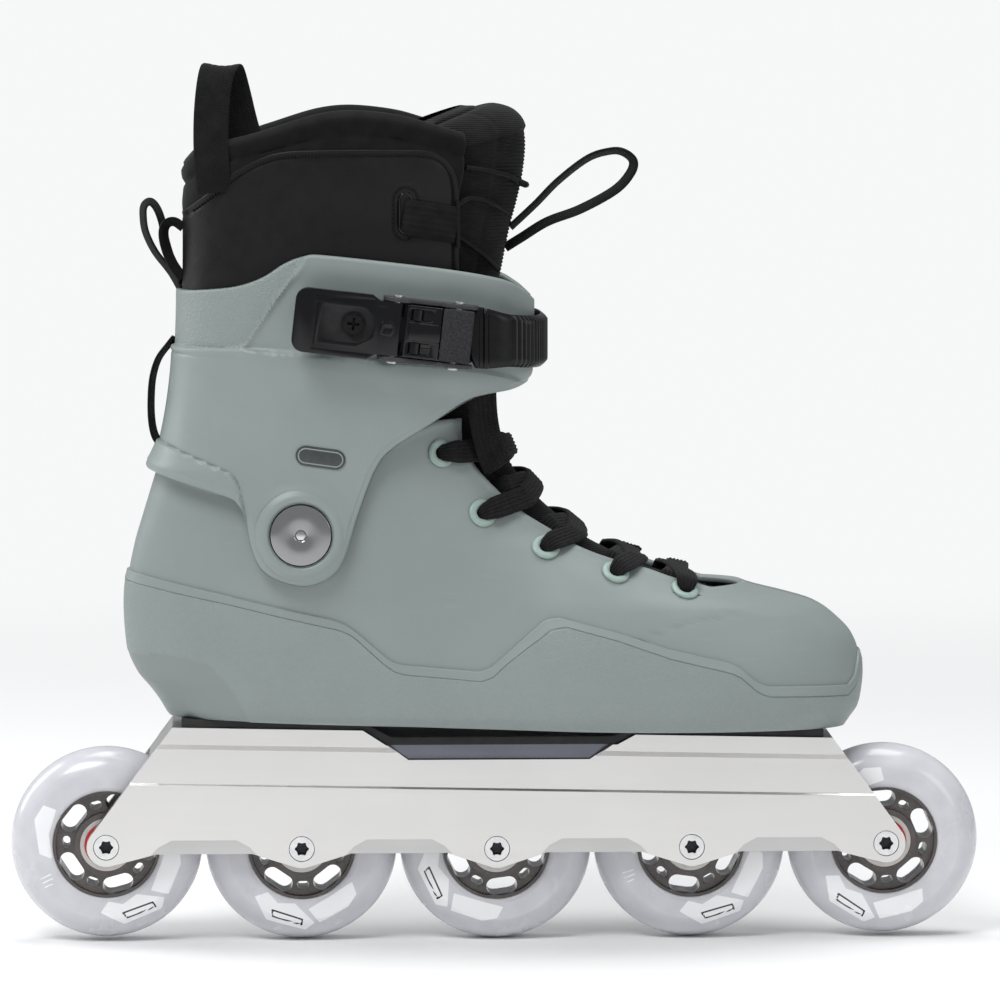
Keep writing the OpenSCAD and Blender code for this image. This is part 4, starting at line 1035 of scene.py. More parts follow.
def build_cuff():
    """The hinged cuff, with its bands, panel, ledge and pivot holes."""
    inner = np.linspace(-1, 1, 401)
    edge = 1 - np.array([0.001, 0.0024, 0.0042])
    s = np.unique(np.concatenate([inner, edge, -edge]))
    low, top = polyline(CUFF_LOW), polyline(CUFF_TOP)
    z_low, z_top = cuff_height(s, low, 200), cuff_height(s, top, 276)
    t = np.linspace(0, 1, 121)
    t = np.unique(np.concatenate([t, [0.003, 0.006, 0.013, 0.987, 0.994, 0.997]]))
    z = mix(z_low[None], z_top[None], t[:, None])
    grid = cuff_point(s[None], z)
    n = normals(grid)
    x = grid[..., 0]
    at_low, at_top = distance_to(x, z, CUFF_LOW), distance_to(x, z, CUFF_TOP)
    at_side = side_distance(grid)
    near = np.minimum(np.minimum(at_low, at_top), at_side)
    r_pivot = np.hypot(x - PIVOT[0], z - PIVOT[1])
    d = np.zeros(z.shape)
    # a bevelled border inside the lower edge
    d -= 0.45 * (1 - smooth((at_low - 2.0) / 0.9))
    # the lower rear band lies over the cuff
    band_zone = inside(x, z, [*map(tuple, BAND_LINE), (-90, 140), (-170, 140), (-170, 213)])
    to_band = distance_to(x, z, BAND_LINE)
    fade = smooth((z - 172) / 12)
    d += np.where(band_zone, 1.25 * smooth(to_band / 0.7), 0) * fade
    d += groove(to_band, 0.5, 0.45) * fade
    # the buckle lies in a shallow bed above a ledge
    ledge_x, ledge_z = np.array(LEDGE).T
    above = z - np.interp(x, ledge_x, ledge_z)
    in_panel = inside(x, z, PANEL)
    to_panel = distance_to(x, z, PANEL)
    span = smooth((x + 112) / 9) * (1 - smooth((x - 4) / 9)) * np.where(in_panel, 0, smooth(to_panel / 1.4))
    d -= 1.5 * smooth((above + 0.6) / 2.2) * (1 - smooth((above - 26) / 12)) * span
    d += 1.1 * np.exp(-((above + 4) / 7) ** 2) * (above < 0) * span
    # textured rear panel, set in, and the fold under it
    d -= np.where(in_panel, 1.3 * smooth(to_panel / 0.7), 0)
    d += 0.45 * np.exp(-((to_panel - 1.2) / 1.0) ** 2) * ~in_panel
    d += groove(distance_to(x, z, [(-150, 247.2), (-106, 246.6)]), 0.4, 0.55)
    # the front wing hollows out below the ledge
    d -= 1.8 * np.exp(-((x + 14) / 17) ** 2 - ((z - 227) / 7.5) ** 2)
    # the wall swells up to the pivot boss
    d += 1.5 * np.exp(-((r_pivot - 17.0) / 3.6) ** 2) * (r_pivot > 15)
    cut = round_over(near, RIM)
    outer = grid + n * (d - cut)[..., None]
    wall = 3.4 - 0.75 * (1 - smooth((z - 210) / 8))
    wall_in = grid - n * (wall - cut)[..., None]
    mid = (outer[:-1, :-1] + outer[1:, 1:]) / 2
    keep = np.hypot(mid[..., 0] - PIVOT[0], mid[..., 2] - PIVOT[1]) > BOSS_HOLE_R
    points, faces = sheet(outer, wall_in, keep)
    inside_face = np.zeros(z.size)
    layers = {"grain": np.concatenate([np.where(in_panel, 1.8, 0.10).ravel(), inside_face]),
              "shade": np.concatenate([np.where(in_panel, 0.25, 0.0).ravel(), inside_face])}
    make("cuff_shell", points, faces, M["cuff"], "cuff", "cuff_plastic", ["cuff"], layers, sharp=50)


build_cuff()


def at_both_pivots(points, faces):
    """A part with its axis along Z, set on the pivot on both sides."""
    spot = (PIVOT[0], 0, PIVOT[1])
    return join([(place(points, spot, (1, 0, 0), (0, side, 0)), faces) for side in (-1, 1)])


def bare(points):
    """No grain and no shade."""
    return {"grain": np.zeros(len(points)), "shade": np.zeros(len(points))}


def build_boss():
    """The raised ring round each pivot hole, the bolt's cap in it and the hexagon socket in the cap."""
    crown = np.linspace(0.2, math.pi / 2, 8)
    section = [(8.6, 44.9), (12.9, 44.9), (12.9, 49.2)]
    section += [(15.2 - 2.1 * math.cos(a), 48.9 + 1.55 * math.sin(a)) for a in crown]
    section += [(16.0, 50.35), (16.9, 49.9), (17.7, 49.35), (18.6, 48.8), (18.9, 47.4), (17.5, 45.2),
                (14, 44.6), (8.6, 44.6)]
    points, faces = at_both_pivots(*lathe(section, 128))
    make("pivot_rings", points, faces, M["cuff"], "cuff", "cuff_plastic", layers=bare(points), sharp=45)
    cap = [(0, 39.1), (3.95, 39.1), (3.95, 47.65), (12.15, 47.65), (12.45, 47.95), (12.45, 50.1),
           (12.3, 50.45), (11.9, 50.62), (8, 50.85), (3.2, 50.98), (2.6, 50.8), (2.3, 50.5), (2.3, 49.1),
           (0, 49.1)]
    make("pivot_bolts", *at_both_pivots(*lathe(cap, 96)), M["cap"], "boot", "pivot_cap", ["cuff_bolts"],
         sharp=30)
    outline = [(2.15 * math.cos(a), 2.15 * math.sin(a)) for a in np.arange(6) * math.pi / 3]
    make("pivot_bolt_sockets", *at_both_pivots(*prism(outline, 49.15, 49.9, 0.15)), M["steel"], "boot",
         "pin_steel", sharp=30)


build_boss()


def cuff_at(x, z, side=-1, lift=0.0):
    """Point on the cuff's outer face at a side-view place, moved out by lift."""
    x, z = np.asarray(x, float), np.asarray(z, float)

    def at(px, pz):
        b, f = cuff_back(pz), cuff_front(pz)
        c = 1 - 2 * (px - b) / (f - b)
        return np.stack([px, side * cuff_half(pz) * bow(c, CUFF_BOW), pz], axis=-1)

    n = outward_normal(at, x, z, side)
    return at(x, z) + n * np.asarray(lift)[..., None], n


def pill(length, height):
    """Outline of a bar with round ends."""
    r = height / 2
    half = length / 2 - r
    right = [(half + r * math.cos(a), r * math.sin(a)) for a in np.linspace(-math.pi / 2, math.pi / 2, 14)]
    return right + [(-x, -y) for x, y in right]


def build_badge():
    """A plain pill-shaped badge on the outer side of the cuff."""
    centre, n = cuff_at(-73.4, 205.9, -1, 0.05)
    lean = math.radians(-8)
    along = (math.cos(lean), 0, math.sin(lean))
    for name, outline, low, high, finish in [
        ("badge_plate", pill(20.6, 8.2), -0.6, 0.35, M["badge"]),
        ("badge_inlay", pill(18.8, 6.4), 0.2, 0.45, M["cuff"]),
        ("badge_core", pill(17.8, 5.4), 0.3, 0.55, M["badge"]),
    ]:
        p, f = prism(outline, low, high, 0.12)
        make(name, place(p, centre, along, n), f, finish, "cuff", "cuff_plastic", layers=bare(p), sharp=40)


build_badge()


# ================================================================ buckle and strap

LEAN = math.radians(6.5)
BUCKLE = np.array([-59.9, -49.05, 261.0])
PIN_A, PIN_B, PIN_LIFT = 16.8, 41.8, 7.4


def in_buckle(points):
    """Points moved from the buckle's frame: X forward along it, Z out of the cuff."""
    return place(points, BUCKLE, (math.cos(LEAN), 0, -math.sin(LEAN)), (0, -1, 0))


def temp_object(points, faces):
    """A bare object for a boolean."""
    data = bpy.data.meshes.new("temp")
    data.from_pydata(np.asarray(points, float), [], [tuple(int(i) for i in f) for f in faces])
    bm = bmesh.new()
    bm.from_mesh(data)
    bmesh.ops.remove_doubles(bm, verts=bm.verts, dist=1e-4)
    bmesh.ops.recalc_face_normals(bm, faces=bm.faces)
    bm.to_mesh(data)
    bm.free()
    obj = bpy.data.objects.new("temp", data)
    bpy.context.scene.collection.objects.link(obj)
    return obj


def carve(base, adds=(), cuts=(), bevel=0.4, segments=3):
    """Boolean solid from (points, faces) parts in millimetres, with bevelled edges, as (points, faces)."""
    obj = temp_object(*base)
    others = []
    for part, operation in [*((a, "UNION") for a in adds), *((c, "DIFFERENCE") for c in cuts)]:
        other = temp_object(*part)
        others.append(other)
        mod = obj.modifiers.new("bool", "BOOLEAN")
        mod.object, mod.operation, mod.solver = other, operation, "EXACT"
    if bevel:
        mod = obj.modifiers.new("bevel", "BEVEL")
        mod.width, mod.segments, mod.limit_method = bevel, segments, "ANGLE"
        mod.angle_limit = math.radians(35)
    bpy.context.view_layer.update()
    done = obj.evaluated_get(bpy.context.evaluated_depsgraph_get()).to_mesh()
    points = np.array([v.co[:] for v in done.vertices])
    faces = [list(p.vertices) for p in done.polygons]
    for o in [obj, *others]:
        bpy.data.objects.remove(o)
    return points, faces


def straight(points):
    """Points and faces of a solid between two rings of points, its two ends listed first."""
    faces = capped(2, len(points) // 2)
    return np.array(points, float), faces[-2:] + faces[:-2]


def slab(outline, z0, z1):
    """A plate with a (x, y) outline from z0 to z1."""
    return straight([(x, y, z) for z in (z0, z1) for x, y in outline])


def box(x0, x1, y0, y1, z0, z1):
    return slab([(x0, y0), (x1, y0), (x1, y1), (x0, y1)], z0, z1)


def rod(x, z, radius, y0, y1, sides=40):
    """A cylinder along the buckle's Y axis."""
    turns = np.linspace(0, 2 * math.pi, sides, endpoint=False)
    points = [(x + radius * math.cos(a), y, z + radius * math.sin(a)) for y in (y0, y1) for a in turns]
    return straight(points)


def build_lever():
    """The lever, with a window over the fixing screw, and a plain crest on it."""
    wide, narrow, rear = 13.2, 10.9, -24.6
    outline = [(rear + 5 * (1 - math.sin(a)), -wide + 5 * (1 - math.cos(a)))
               for a in np.linspace(math.pi / 2, 0, 8)]
    outline += [(6.5, -wide), (10, -narrow), (18.6, -narrow)]
    outline += [(x, -y) for x, y in outline[::-1]]
    half_turn = np.linspace(0, math.pi, 24)
    window = [(-13.5, -6.2), (-12.2, -7.5), *((1 + 7.5 * math.sin(a), -7.5 * math.cos(a)) for a in half_turn),
              (-12.2, 7.5), (-13.5, 6.2)]
    lip = [(-15.2, -9.0), *((1 + 9.0 * math.sin(a), -9.0 * math.cos(a)) for a in half_turn), (-15.2, 9.0)]
    rails = [slab(rounded(26, 1.8, 0.85, (-6, s * 12.2)), 8, 12.2) for s in (-1, 1)]
    nose = slab(rounded(8.4, 2 * wide - 0.6, 4.0, (-20.1, 0)), 7, 12.6)
    barrel = rod(PIN_A, PIN_LIFT, 3.2, -narrow, narrow)
    points, faces = carve(
        slab(outline, 6.4, 10.8), [*rails, nose, slab(lip, 8, 11.5), barrel],
        [slab(window, 0, 20), box(PIN_A - 4.4, PIN_A + 20, -5.4, 5.4, -1, 9.8),
         rod(PIN_A, PIN_LIFT, 1.55, -30, 30)],
        bevel=0.7, segments=4)
    make("buckle_lever", in_buckle(points), faces, M["gloss"], "lever", "buckle_gloss", ["lever"], sharp=40)
    crest = slab([(-3, -2.6), (1.6, -3.1), (3.1, 0), (1.6, 3.1), (-3, 2.6)], 0, 0.7)
    hollow = slab([(-1.6, -1.3), (0.9, -1.6), (1.7, 0), (0.9, 1.6), (-1.6, 1.3)], 0.3, 2)
    points, faces = carve(crest, [], [hollow], bevel=0.15)
    make("lever_crest", in_buckle(points + np.array([14.0, 0, 10.7])), faces, M["gloss"], "lever",
         "buckle_gloss", sharp=30)


def build_latch():
    """The release latch's arms, the cover over them and the grip pad."""
    arms = []
    for s in (-1, 1):
        arms.append(slab(rounded(19, 4.2, 0.8, (PIN_B - 10.5, s * 6.8)), PIN_LIFT - 1.5, PIN_LIFT + 1.3))
        arms.append(rod(PIN_B - 16.3, PIN_LIFT + 0.8, 2.6, s * 6.8 - 2.2, s * 6.8 + 2.2, 32))
    barrel = rod(PIN_B, PIN_LIFT, 3.3, -10.8, 10.8)
    points, faces = carve(barrel, arms, [box(PIN_B - 7, PIN_B + 5.5, -3, 3, 1.4, PIN_LIFT + 2.4)], bevel=0.35)
    make("latch_arms", in_buckle(points), faces, M["gloss"], "latch", "buckle_gloss", ["latch"], sharp=40)
    cover = slab([(21, -10.6), (35.6, -10.6), (35.6, 10.6), (21, 10.6)], 9.3, 10.3)
    slots = [slab(rounded(10, 4.6, 1.2, (PIN_B - 14.8, s * 6.8)), 5, 20) for s in (-1, 1)]
    points, faces = carve(cover, [box(22.5, 35.6, -3.6, 3.6, 9.8, 10.9)], slots, bevel=0.3)
    make("latch_cover", in_buckle(points), faces, M["gloss"], "latch", "buckle_gloss", sharp=40)
    pad = slab(rounded(12.6, 21.6, 1.0, (PIN_B + 0.4, 0)), PIN_LIFT + 1.6, PIN_LIFT + 4.5)
    points, faces = carve(pad, [], [], bevel=0.7)
    make("latch_pad", in_buckle(points), faces, M["grip"], "latch", "latch_pad", sharp=40)


def build_side_plates():
    """The buckle base's two ears as bent glossy plates with rounded ends."""
    parts = []
    outline = [(11, 0.1), (50, 0.1), (50, 6.5), (48.6, 9.3), (45.5, 10.6), (37, 10.6), (34, 8.2), (24, 8.2),
               (21, 10.6), (14, 10.6), (11.6, 9.4), (11, 7)]
    for s in (-1, 1):
        p, f = slab(outline, -0.85, 0.85)
        p = np.column_stack([p[:, 0], s * 12.15 + p[:, 2], p[:, 1]])
        holes = [rod(px, PIN_LIFT, 1.5, -20, 20, 24) for px in (PIN_A, PIN_B)]
        parts.append(carve((p, f), [], holes, bevel=0.3))
    hole = [(2.7 * math.cos(a), 2.7 * math.sin(a)) for a in np.linspace(0, 2 * math.pi, 24, endpoint=False)]
    floor = carve(slab(rounded(66, 22, 1.5, (17, 0)), 0.05, 1.6), [], [slab(hole, -1, 3)], bevel=0.3)
    points, faces = join([*parts, floor])
    make("buckle_plate", in_buckle(points), faces, M["plate"], "cuff", "black_plastic", ["buckle_base"],
         sharp=40)


build_lever()
build_latch()
build_side_plates()

STRAP_LINE = [(-36, -50.9), (-22, -50.9), (-10, -50.9), (1, -49.2), (9.2, -43.2), (14.4, -34), (17.2, -20),
              (18.2, 0), (16.8, 18), (12.6, 30), (6, 37.6), (-4, 42.8), (-18, 47), (-38, 49.6), (-54, 50.2)]
STRAP_THICK = 2.2
RIB_PITCH, RIB_RUN = 2.35, 74.0


def strap_profile(run, start, turn):
    """Half width, ribs, keeper bars and a painted highlight along each rib's crest edge, along the strap."""
    half = 9.2 + 3.4 * smooth((run - start) / 2.5) - 1.9 * smooth((run - start - 4) / 14)
    tail = run[-1] - 22
    half = np.where(run > tail, half - 1.5 * smooth((run - tail) / 22), half)
    phase = ((run - turn) / RIB_PITCH) % 1
    on_ribs = (run > turn) & (run < turn + RIB_RUN)
    ribs = 1.25 * np.clip(np.minimum(phase * 1.35, (1 - phase) * 7), 0, 1) * on_ribs
    # a lighter line on each rib's crest edge: a painted highlight
    rib_highlight = np.exp(-((phase - 0.84) / 0.10) ** 2) * on_ribs
    keeper = 1.1 * sum(smooth((run - start - low) / 0.6) * (1 - smooth((run - start - high) / 0.6))
                       for low, high in ((0, 3.4), (5.4, 7.2)))
    return half, ribs, keeper, rib_highlight


def build_strap():
    """The ladder strap, from the buckle round the front of the ankle to the cuff's inner side."""
    centre = path([(x, y, 0) for x, y in STRAP_LINE], 900)
    run = length_along(centre)
    x = centre[:, 0]
    centre[:, 2] = BUCKLE[2] - math.tan(LEAN) * (x - BUCKLE[0])
    tangent = unit(np.gradient(centre, axis=0))
    outward = unit(np.stack([tangent[:, 1], -tangent[:, 0], np.zeros(len(x))], axis=1))
    half, ribs, keeper, rib_highlight = strap_profile(run, run[np.argmax(x > -12.6)], run[np.argmax(x > 3.5)])
    u = np.linspace(-1, 1, 19)
    rows = []
    for v in u:
        edge = 1 - abs(v) ** 14 * 0.55
        rows.append((v, STRAP_THICK * edge + ribs * smooth((0.93 - abs(v)) / 0.1) + keeper * edge))
    rows += [(v, np.full(len(x), 0.35 * abs(v) ** 14)) for v in u[::-1]]
    up = np.array([0, 0, 1.0])
    grid = np.stack([centre + outward * out[:, None] + up * (v * half)[:, None] for v, out in rows], axis=1)
    count = len(rows)
    outer_face = (np.arange(count) < len(u)) & (np.abs(np.resize(u, count)) < 0.9)
    make("strap_ladder", grid.reshape(-1, 3), capped(len(x), count), M["strap"], "cuff", "strap_plastic",
         ["ladder_strap"], {"edge": rib_highlight[:, None] * outer_face[None]}, sharp=38)


build_strap()


# ================================================================ liner

liner_back = line([(104, -140), (214, -134.6), (235, -131.4), (273, -129.8), (305, -129.4), (322, -128.6),
                   (334, -126), (350, -124)])
liner_front = line([(205, 4), (214, 2), (235, -2), (273, 0), (300, 4), (330, 8), (350, 6)])
liner_half = line([(213, 40), (235, 43.2), (275, 43.4), (300, 43.2), (325, 43.8), (350, 42.5)])
LINER_TOP = path([(-135, 322), (-129, 328.2), (-123, 332.8), (-112, 336), (-101, 338.7), (-86, 343.3),
                  (-72, 347), (-58, 348), (-40, 346), (-27, 342.6), (-12, 338.5), (12, 333)], 160)
LINER_BLEND_Z, LINER_BLEND_HEIGHT = 219.0, 19.0
LINER_GAP = 1.6
SLOT_X, SLOT_Z, SLOT_HALF = -38.5, 305.7, 5.8
PATCH_FRONT = -16.7


def liner_sides(z):
    """x of the liner's back and front, and how far it has left the shell's form for its own, by height."""
    w = WALL + LINER_GAP
    t = smooth((z - LINER_BLEND_Z) / LINER_BLEND_HEIGHT)
    return mix(heel_line(z) + w, liner_back(z), t), mix(toe_line(z + 0.8 * w) - w, liner_front(z), t), t


def liner_surface(x, z, side):
    """Point on the plain liner at a side-view place."""
    b, f, t = liner_sides(z)
    c = np.clip(1 - 2 * (x - b) / (f - b), -1, 1)
    half = mix(shell_half(x, z) - WALL - LINER_GAP, liner_half(z), t)
    n = mix(np.where(c < 0, front_bow(z), 2.6), 2.5, t)
    return np.stack([x, side * half * bow(c, n) + bend(x) * (1 - t), z - droop(x, z)], axis=-1)


def liner_point(s, z, reach):
    """Point on the plain liner: s runs from -1 to 1 over reach either way from the heel."""
    b, f, _ = liner_sides(z)
    x = mix(b, f, (1 - np.cos(s * reach)) / 2)
    return liner_surface(x, z, np.sign(s))


def liner_at(x, z, side=-1, lift=0.0):
    """Point on the liner at a side-view place, moved out by lift, and the normal there."""
    x, z = np.asarray(x, float), np.asarray(z, float)
    n = outward_normal(lambda px, pz: liner_surface(px, pz, side), x, z, side)
    return liner_surface(x, z, side) + n * np.asarray(lift)[..., None], n


liner_reach = line([(104, 179), (138, 178), (143, 165), (149, 150), (160, 142), (180, 138), (205, 134),
                    (230, 134), (345, 134)])


def build_liner():
    """The padded liner with its collar."""
    s = np.linspace(-1, 1, 241)
    top = polyline(LINER_TOP)
    z_top = np.full(s.shape, 340.0)
    for _ in range(40):
        x = liner_point(s, z_top, math.radians(134))[..., 0]
        z_top = mix(z_top, top(x), 0.5)
    t = np.linspace(0, 1, 190) ** 0.9
    t = np.unique(np.concatenate([t, 1 - np.array([0.0012, 0.0035, 0.007, 0.012, 0.018])]))
    z = mix(104.0, z_top[None], t[:, None])
    reach = np.radians(liner_reach(z))
    grid = liner_point(s[None], z, reach)
    n = normals(grid)
    x = grid[..., 0]
    at_side = side_distance(grid)
    at_top = distance_to(x, z, LINER_TOP)
    near = np.minimum(at_top, np.where(z > 150, at_side, 99))
    high = smooth((z - 292) / 20)
    thick = 5.0 + 3.4 * smooth((z - 300) / 25)
    # padded collar above a sewn line, and the panels below it
    seam = 8.2 + 2.0 * np.sin((x + 130) / 60)
    d = high * (1.6 * np.exp(-((at_top - 4.2) / 3.3) ** 2) + 0.9 * np.exp(-((at_top - 14.5) / 5) ** 2))
    d += groove(at_top - seam, 1.1, 0.8) * high
    d += groove(distance_to(x, z, [(-140, 322.5), (-122, 324)]), 0.9, 0.8)
    d += 0.25 * np.sin(x * 0.33 + z * 0.11) * np.sin(z * 0.27) * high
    cut = round_over(near, 4.0)
    outer = grid + n * (d - cut)[..., None]
    inner = grid - n * (thick - cut)[..., None]
    puff = smooth((z - 296) / 14)
    puff = puff * (1.8 * np.exp(-((at_top - 9) / 7) ** 2) + 1.2 * np.sin((at_top - 18) / 5.4) ** 2)
    inner -= n * puff[..., None]
    shares = [0, 0.3, 0.6, 0.85]
    floor_out, floor_in = sole_rows(outer[0], shares), sole_rows(inner[0], shares)
    floor_in[..., 2] = floor_out[..., 2] + 2.2
    inner[..., 2] = np.maximum(inner[..., 2], 106.2 - droop(inner[..., 0], 104))
    outer, inner = np.concatenate([floor_out, outer]), np.concatenate([floor_in, inner])
    points, faces = sheet(outer, inner)
    obj = make("padded_liner", points, faces, M["liner"], None, "liner_fabric", ["liner"], sharp=80)
    bend_at_ankle(obj)


build_liner()

patch_top = line([(-128.6, 305.6), (-121.5, 311.2), (-114.8, 316.6), (-108.3, 322), (-100, 327),
                  (-90.5, 330.4), (-81.9, 331.4), (-60, 331.8), (-34, 331.6), (-28, 330.8), (-23, 328.4),
                  (-19.4, 324.6), (-17.4, 320), (-16.7, 315)])


def slot_outline(radius, count):
    """Side-view outline at radius round the patch's slot."""
    return np.array([(SLOT_X + radius * math.sin(a),
                      SLOT_Z + SLOT_HALF * np.sign(math.cos(a)) + radius * math.cos(a))
                     for a in np.linspace(0, 2 * math.pi, count)])


def build_patch():
    """The leather patch on each side of the liner, with its edge, seams and slot."""
    xs = np.unique(np.concatenate([np.linspace(-128.6, -30, 90), np.linspace(-30, PATCH_FRONT, 40),
                                   [-16.75, -16.9, -17.2, -128.5, -128.3, -127.9]]))
    t = np.unique(np.concatenate([np.linspace(0, 1, 60), [0.985, 0.991, 0.996]]))
    x = np.broadcast_to(xs, (len(t), len(xs)))
    z = mix(256.0, patch_top(xs)[None], t[:, None])
    edge = distance_to(x, z, [*zip(xs[::3], patch_top(xs[::3])), (PATCH_FRONT, 315), (PATCH_FRONT, 250)])
    slot = np.hypot(np.abs(x - SLOT_X), np.maximum(0, np.abs(z - SLOT_Z) - SLOT_HALF))
    lift = 1.35 - round_over(edge, 0.7) + groove(edge - 2.35, 0.4, 0.7) + groove(slot - 5.0, 0.35, 0.7)
    lift = lift - 0.8 * (1 - smooth((slot - 2.4) / 0.7)) + 0.35 * np.exp(-((slot - 3.4) / 0.6) ** 2)
    lift += 0.35 * np.sin(x / 13.0 + 1) * np.sin(z / 11.0) * smooth(edge / 6)
    under = np.full(x.shape, 0.1)
    parts = [sheet(liner_at(x, z, side, lift)[0], liner_at(x, z, side, under)[0]) for side in (-1, 1)]
    make("leather_patches", *join(parts), M["leather"], "cuff", "liner_leather", ["ankle_patch"], sharp=60)
    rings = []
    for side in (-1, 1):
        loop = slot_outline(2.5, 60)
        c, _ = liner_at(loop[:, 0], loop[:, 1], side, np.full(60, 1.5))
        rings.append(tube(c, 0.4, 8))
    make("slot_rings", *join(rings), M["gloss"], "cuff", "liner_leather", sharp=60)


def build_stitches():
    """Separate raised stitches inside the patch's edge and round its slot."""
    over_top = [(x, float(patch_top(x))) for x in np.linspace(-126, PATCH_FRONT, 300)]
    outline = np.array(over_top + [(PATCH_FRONT, z) for z in np.linspace(315, 262, 60)])
    tangent = unit(np.gradient(outline, axis=0))
    inset = outline + np.stack([tangent[:, 1], -tangent[:, 0]], 1) * 2.35
    thread_r = 0.5 * np.array([0.5, 0.9, 1, 1, 1, 0.9, 0.5])
    arc = 1.12 + 0.32 * np.sin(np.linspace(0, math.pi, 7))
    parts = []
    for ends in (spaced(inset, 130), spaced(slot_outline(5.0, 90), 32)):
        for a, b in zip(ends[:-1], ends[1:]):
            p = a + (b - a) * np.linspace(0.12, 0.78, 7)[:, None]
            parts += [tube(liner_at(p[:, 0], p[:, 1], side, arc)[0], thread_r, 6) for side in (-1, 1)]
    make("patch_stitches", *join(parts), M["thread"], "cuff", "liner_leather", sharp=60)


def build_keepers():
    """The webbing tabs out of the patch's slots."""
    x = np.linspace(-39.4, -18.4, 60)
    parts = []
    for side in (-1, 1):
        c, n = liner_at(x, 304.3 - 0.17 * (x + 39.4), side, 0.7 + 1.7 * smooth((x + 39.4) / 3.2))
        parts.append(band(c, n, 15.0, 1.7, 0.24))
    make("webbing_keepers", *join(parts), M["webbing"], "cuff", "webbing", ["liner_webbing"], sharp=60)


def build_cords():
    """The cord that the tabs hold, laced to the tongue and round its front."""
    runs = [
        [(-17.9, 309, 1), (-13, 311.2, 1.6), (-6, 309.4, 3.2), (2, 304.5, 2.6)],
        [(-17.9, 296, 1), (-13, 292, 1.6), (-7, 286.5, 2.5), (-2, 281, 2)],
        [(-14, 324, 0), (-6, 322.4, 2.0), (3, 319.8, 1.6), (8.6, 317, -0.4)],
    ]
    cords = []
    for side in (-1, 1):
        for run in runs:
            cords.append(tube(path([tongue_side(x, z, side, lift + 1.4) for x, z, lift in run], 40), 1.15, 8))
    front = path([tongue_side(8.6, 317, -1, 1.0), (11.8, -9, 316), (12.9, 0, 315.6), (11.8, 9, 316),
                  tongue_side(8.6, 317, 1, 1.0)], 60)
    cords.append(tube(front, 1.3, 8))
    for side in (-1, 1):
        c, _ = liner_at(np.full(20, -17.9), np.linspace(291.5, 310.5, 20), side, np.full(20, 2.6))
        cords.append(tube(c, 0.95, 10))
    make("liner_cords", *join(cords), M["thread"], "cuff", "lace", ["liner_cord"], sharp=60)


# ================================================================ tongue

TONGUE_LINE = path([(88, 148.6), (76, 152.2), (62, 156.6), (50, 162), (37, 169), (27, 177), (17, 186),
                    (9, 195.6), (3, 206), (-0.5, 217), (-2.5, 232), (-3, 250), (-1, 268), (2, 279),
                    (4, 289), (6.2, 299.4), (8.8, 309), (11, 319), (12.3, 330), (12, 337.5), (10.4, 342.5),
                    (7, 346), (2.5, 347.8), (-3, 348.6), (-8, 348.4)], 620)


def tongue_frame():
    """Along TONGUE_LINE: distance run, outward direction, half width, and how deep its sides fall back."""
    run = length_along(TONGUE_LINE)
    tangent = unit(np.gradient(TONGUE_LINE, axis=0))
    z = TONGUE_LINE[:, 1]
    flat = smooth((z - 192) / 34)[:, None]
    out = unit(np.stack([tangent[:, 1], -tangent[:, 0]], axis=1) * (1 - flat) + np.array([1.0, 0]) * flat)
    half = np.interp(z, [148, 158, 171, 190, 202, 214, 224, 238, 252, 300, 348],
                     [11, 17, 22, 24, 22, 20.5, 21.5, 27, 32, 33, 33])
    depth = np.interp(z, [148, 158, 171, 190, 214, 250, 290, 330, 348], [3, 7, 12, 17, 21, 22, 27, 29, 24])
    return run, out, half, depth


def tongue_side(x, z, side, lift):
    """Point on the tongue's flank at a side-view place, moved out by lift."""
    _, _, half, depth = tongue_frame()
    first, last = 240, 560
    k = first + int(np.argmin(np.abs(TONGUE_LINE[first:last, 1] - z)))
    v = min(1.0, (max(0.0, TONGUE_LINE[k, 0] - x) / depth[k]) ** (1 / 2.2))
    n = unit(np.array([1.0, 2.2 * depth[k] * v ** 1.2 / half[k]]))
    return (x + n[0] * lift * 0.9, side * (half[k] * v + n[1] * lift), z)


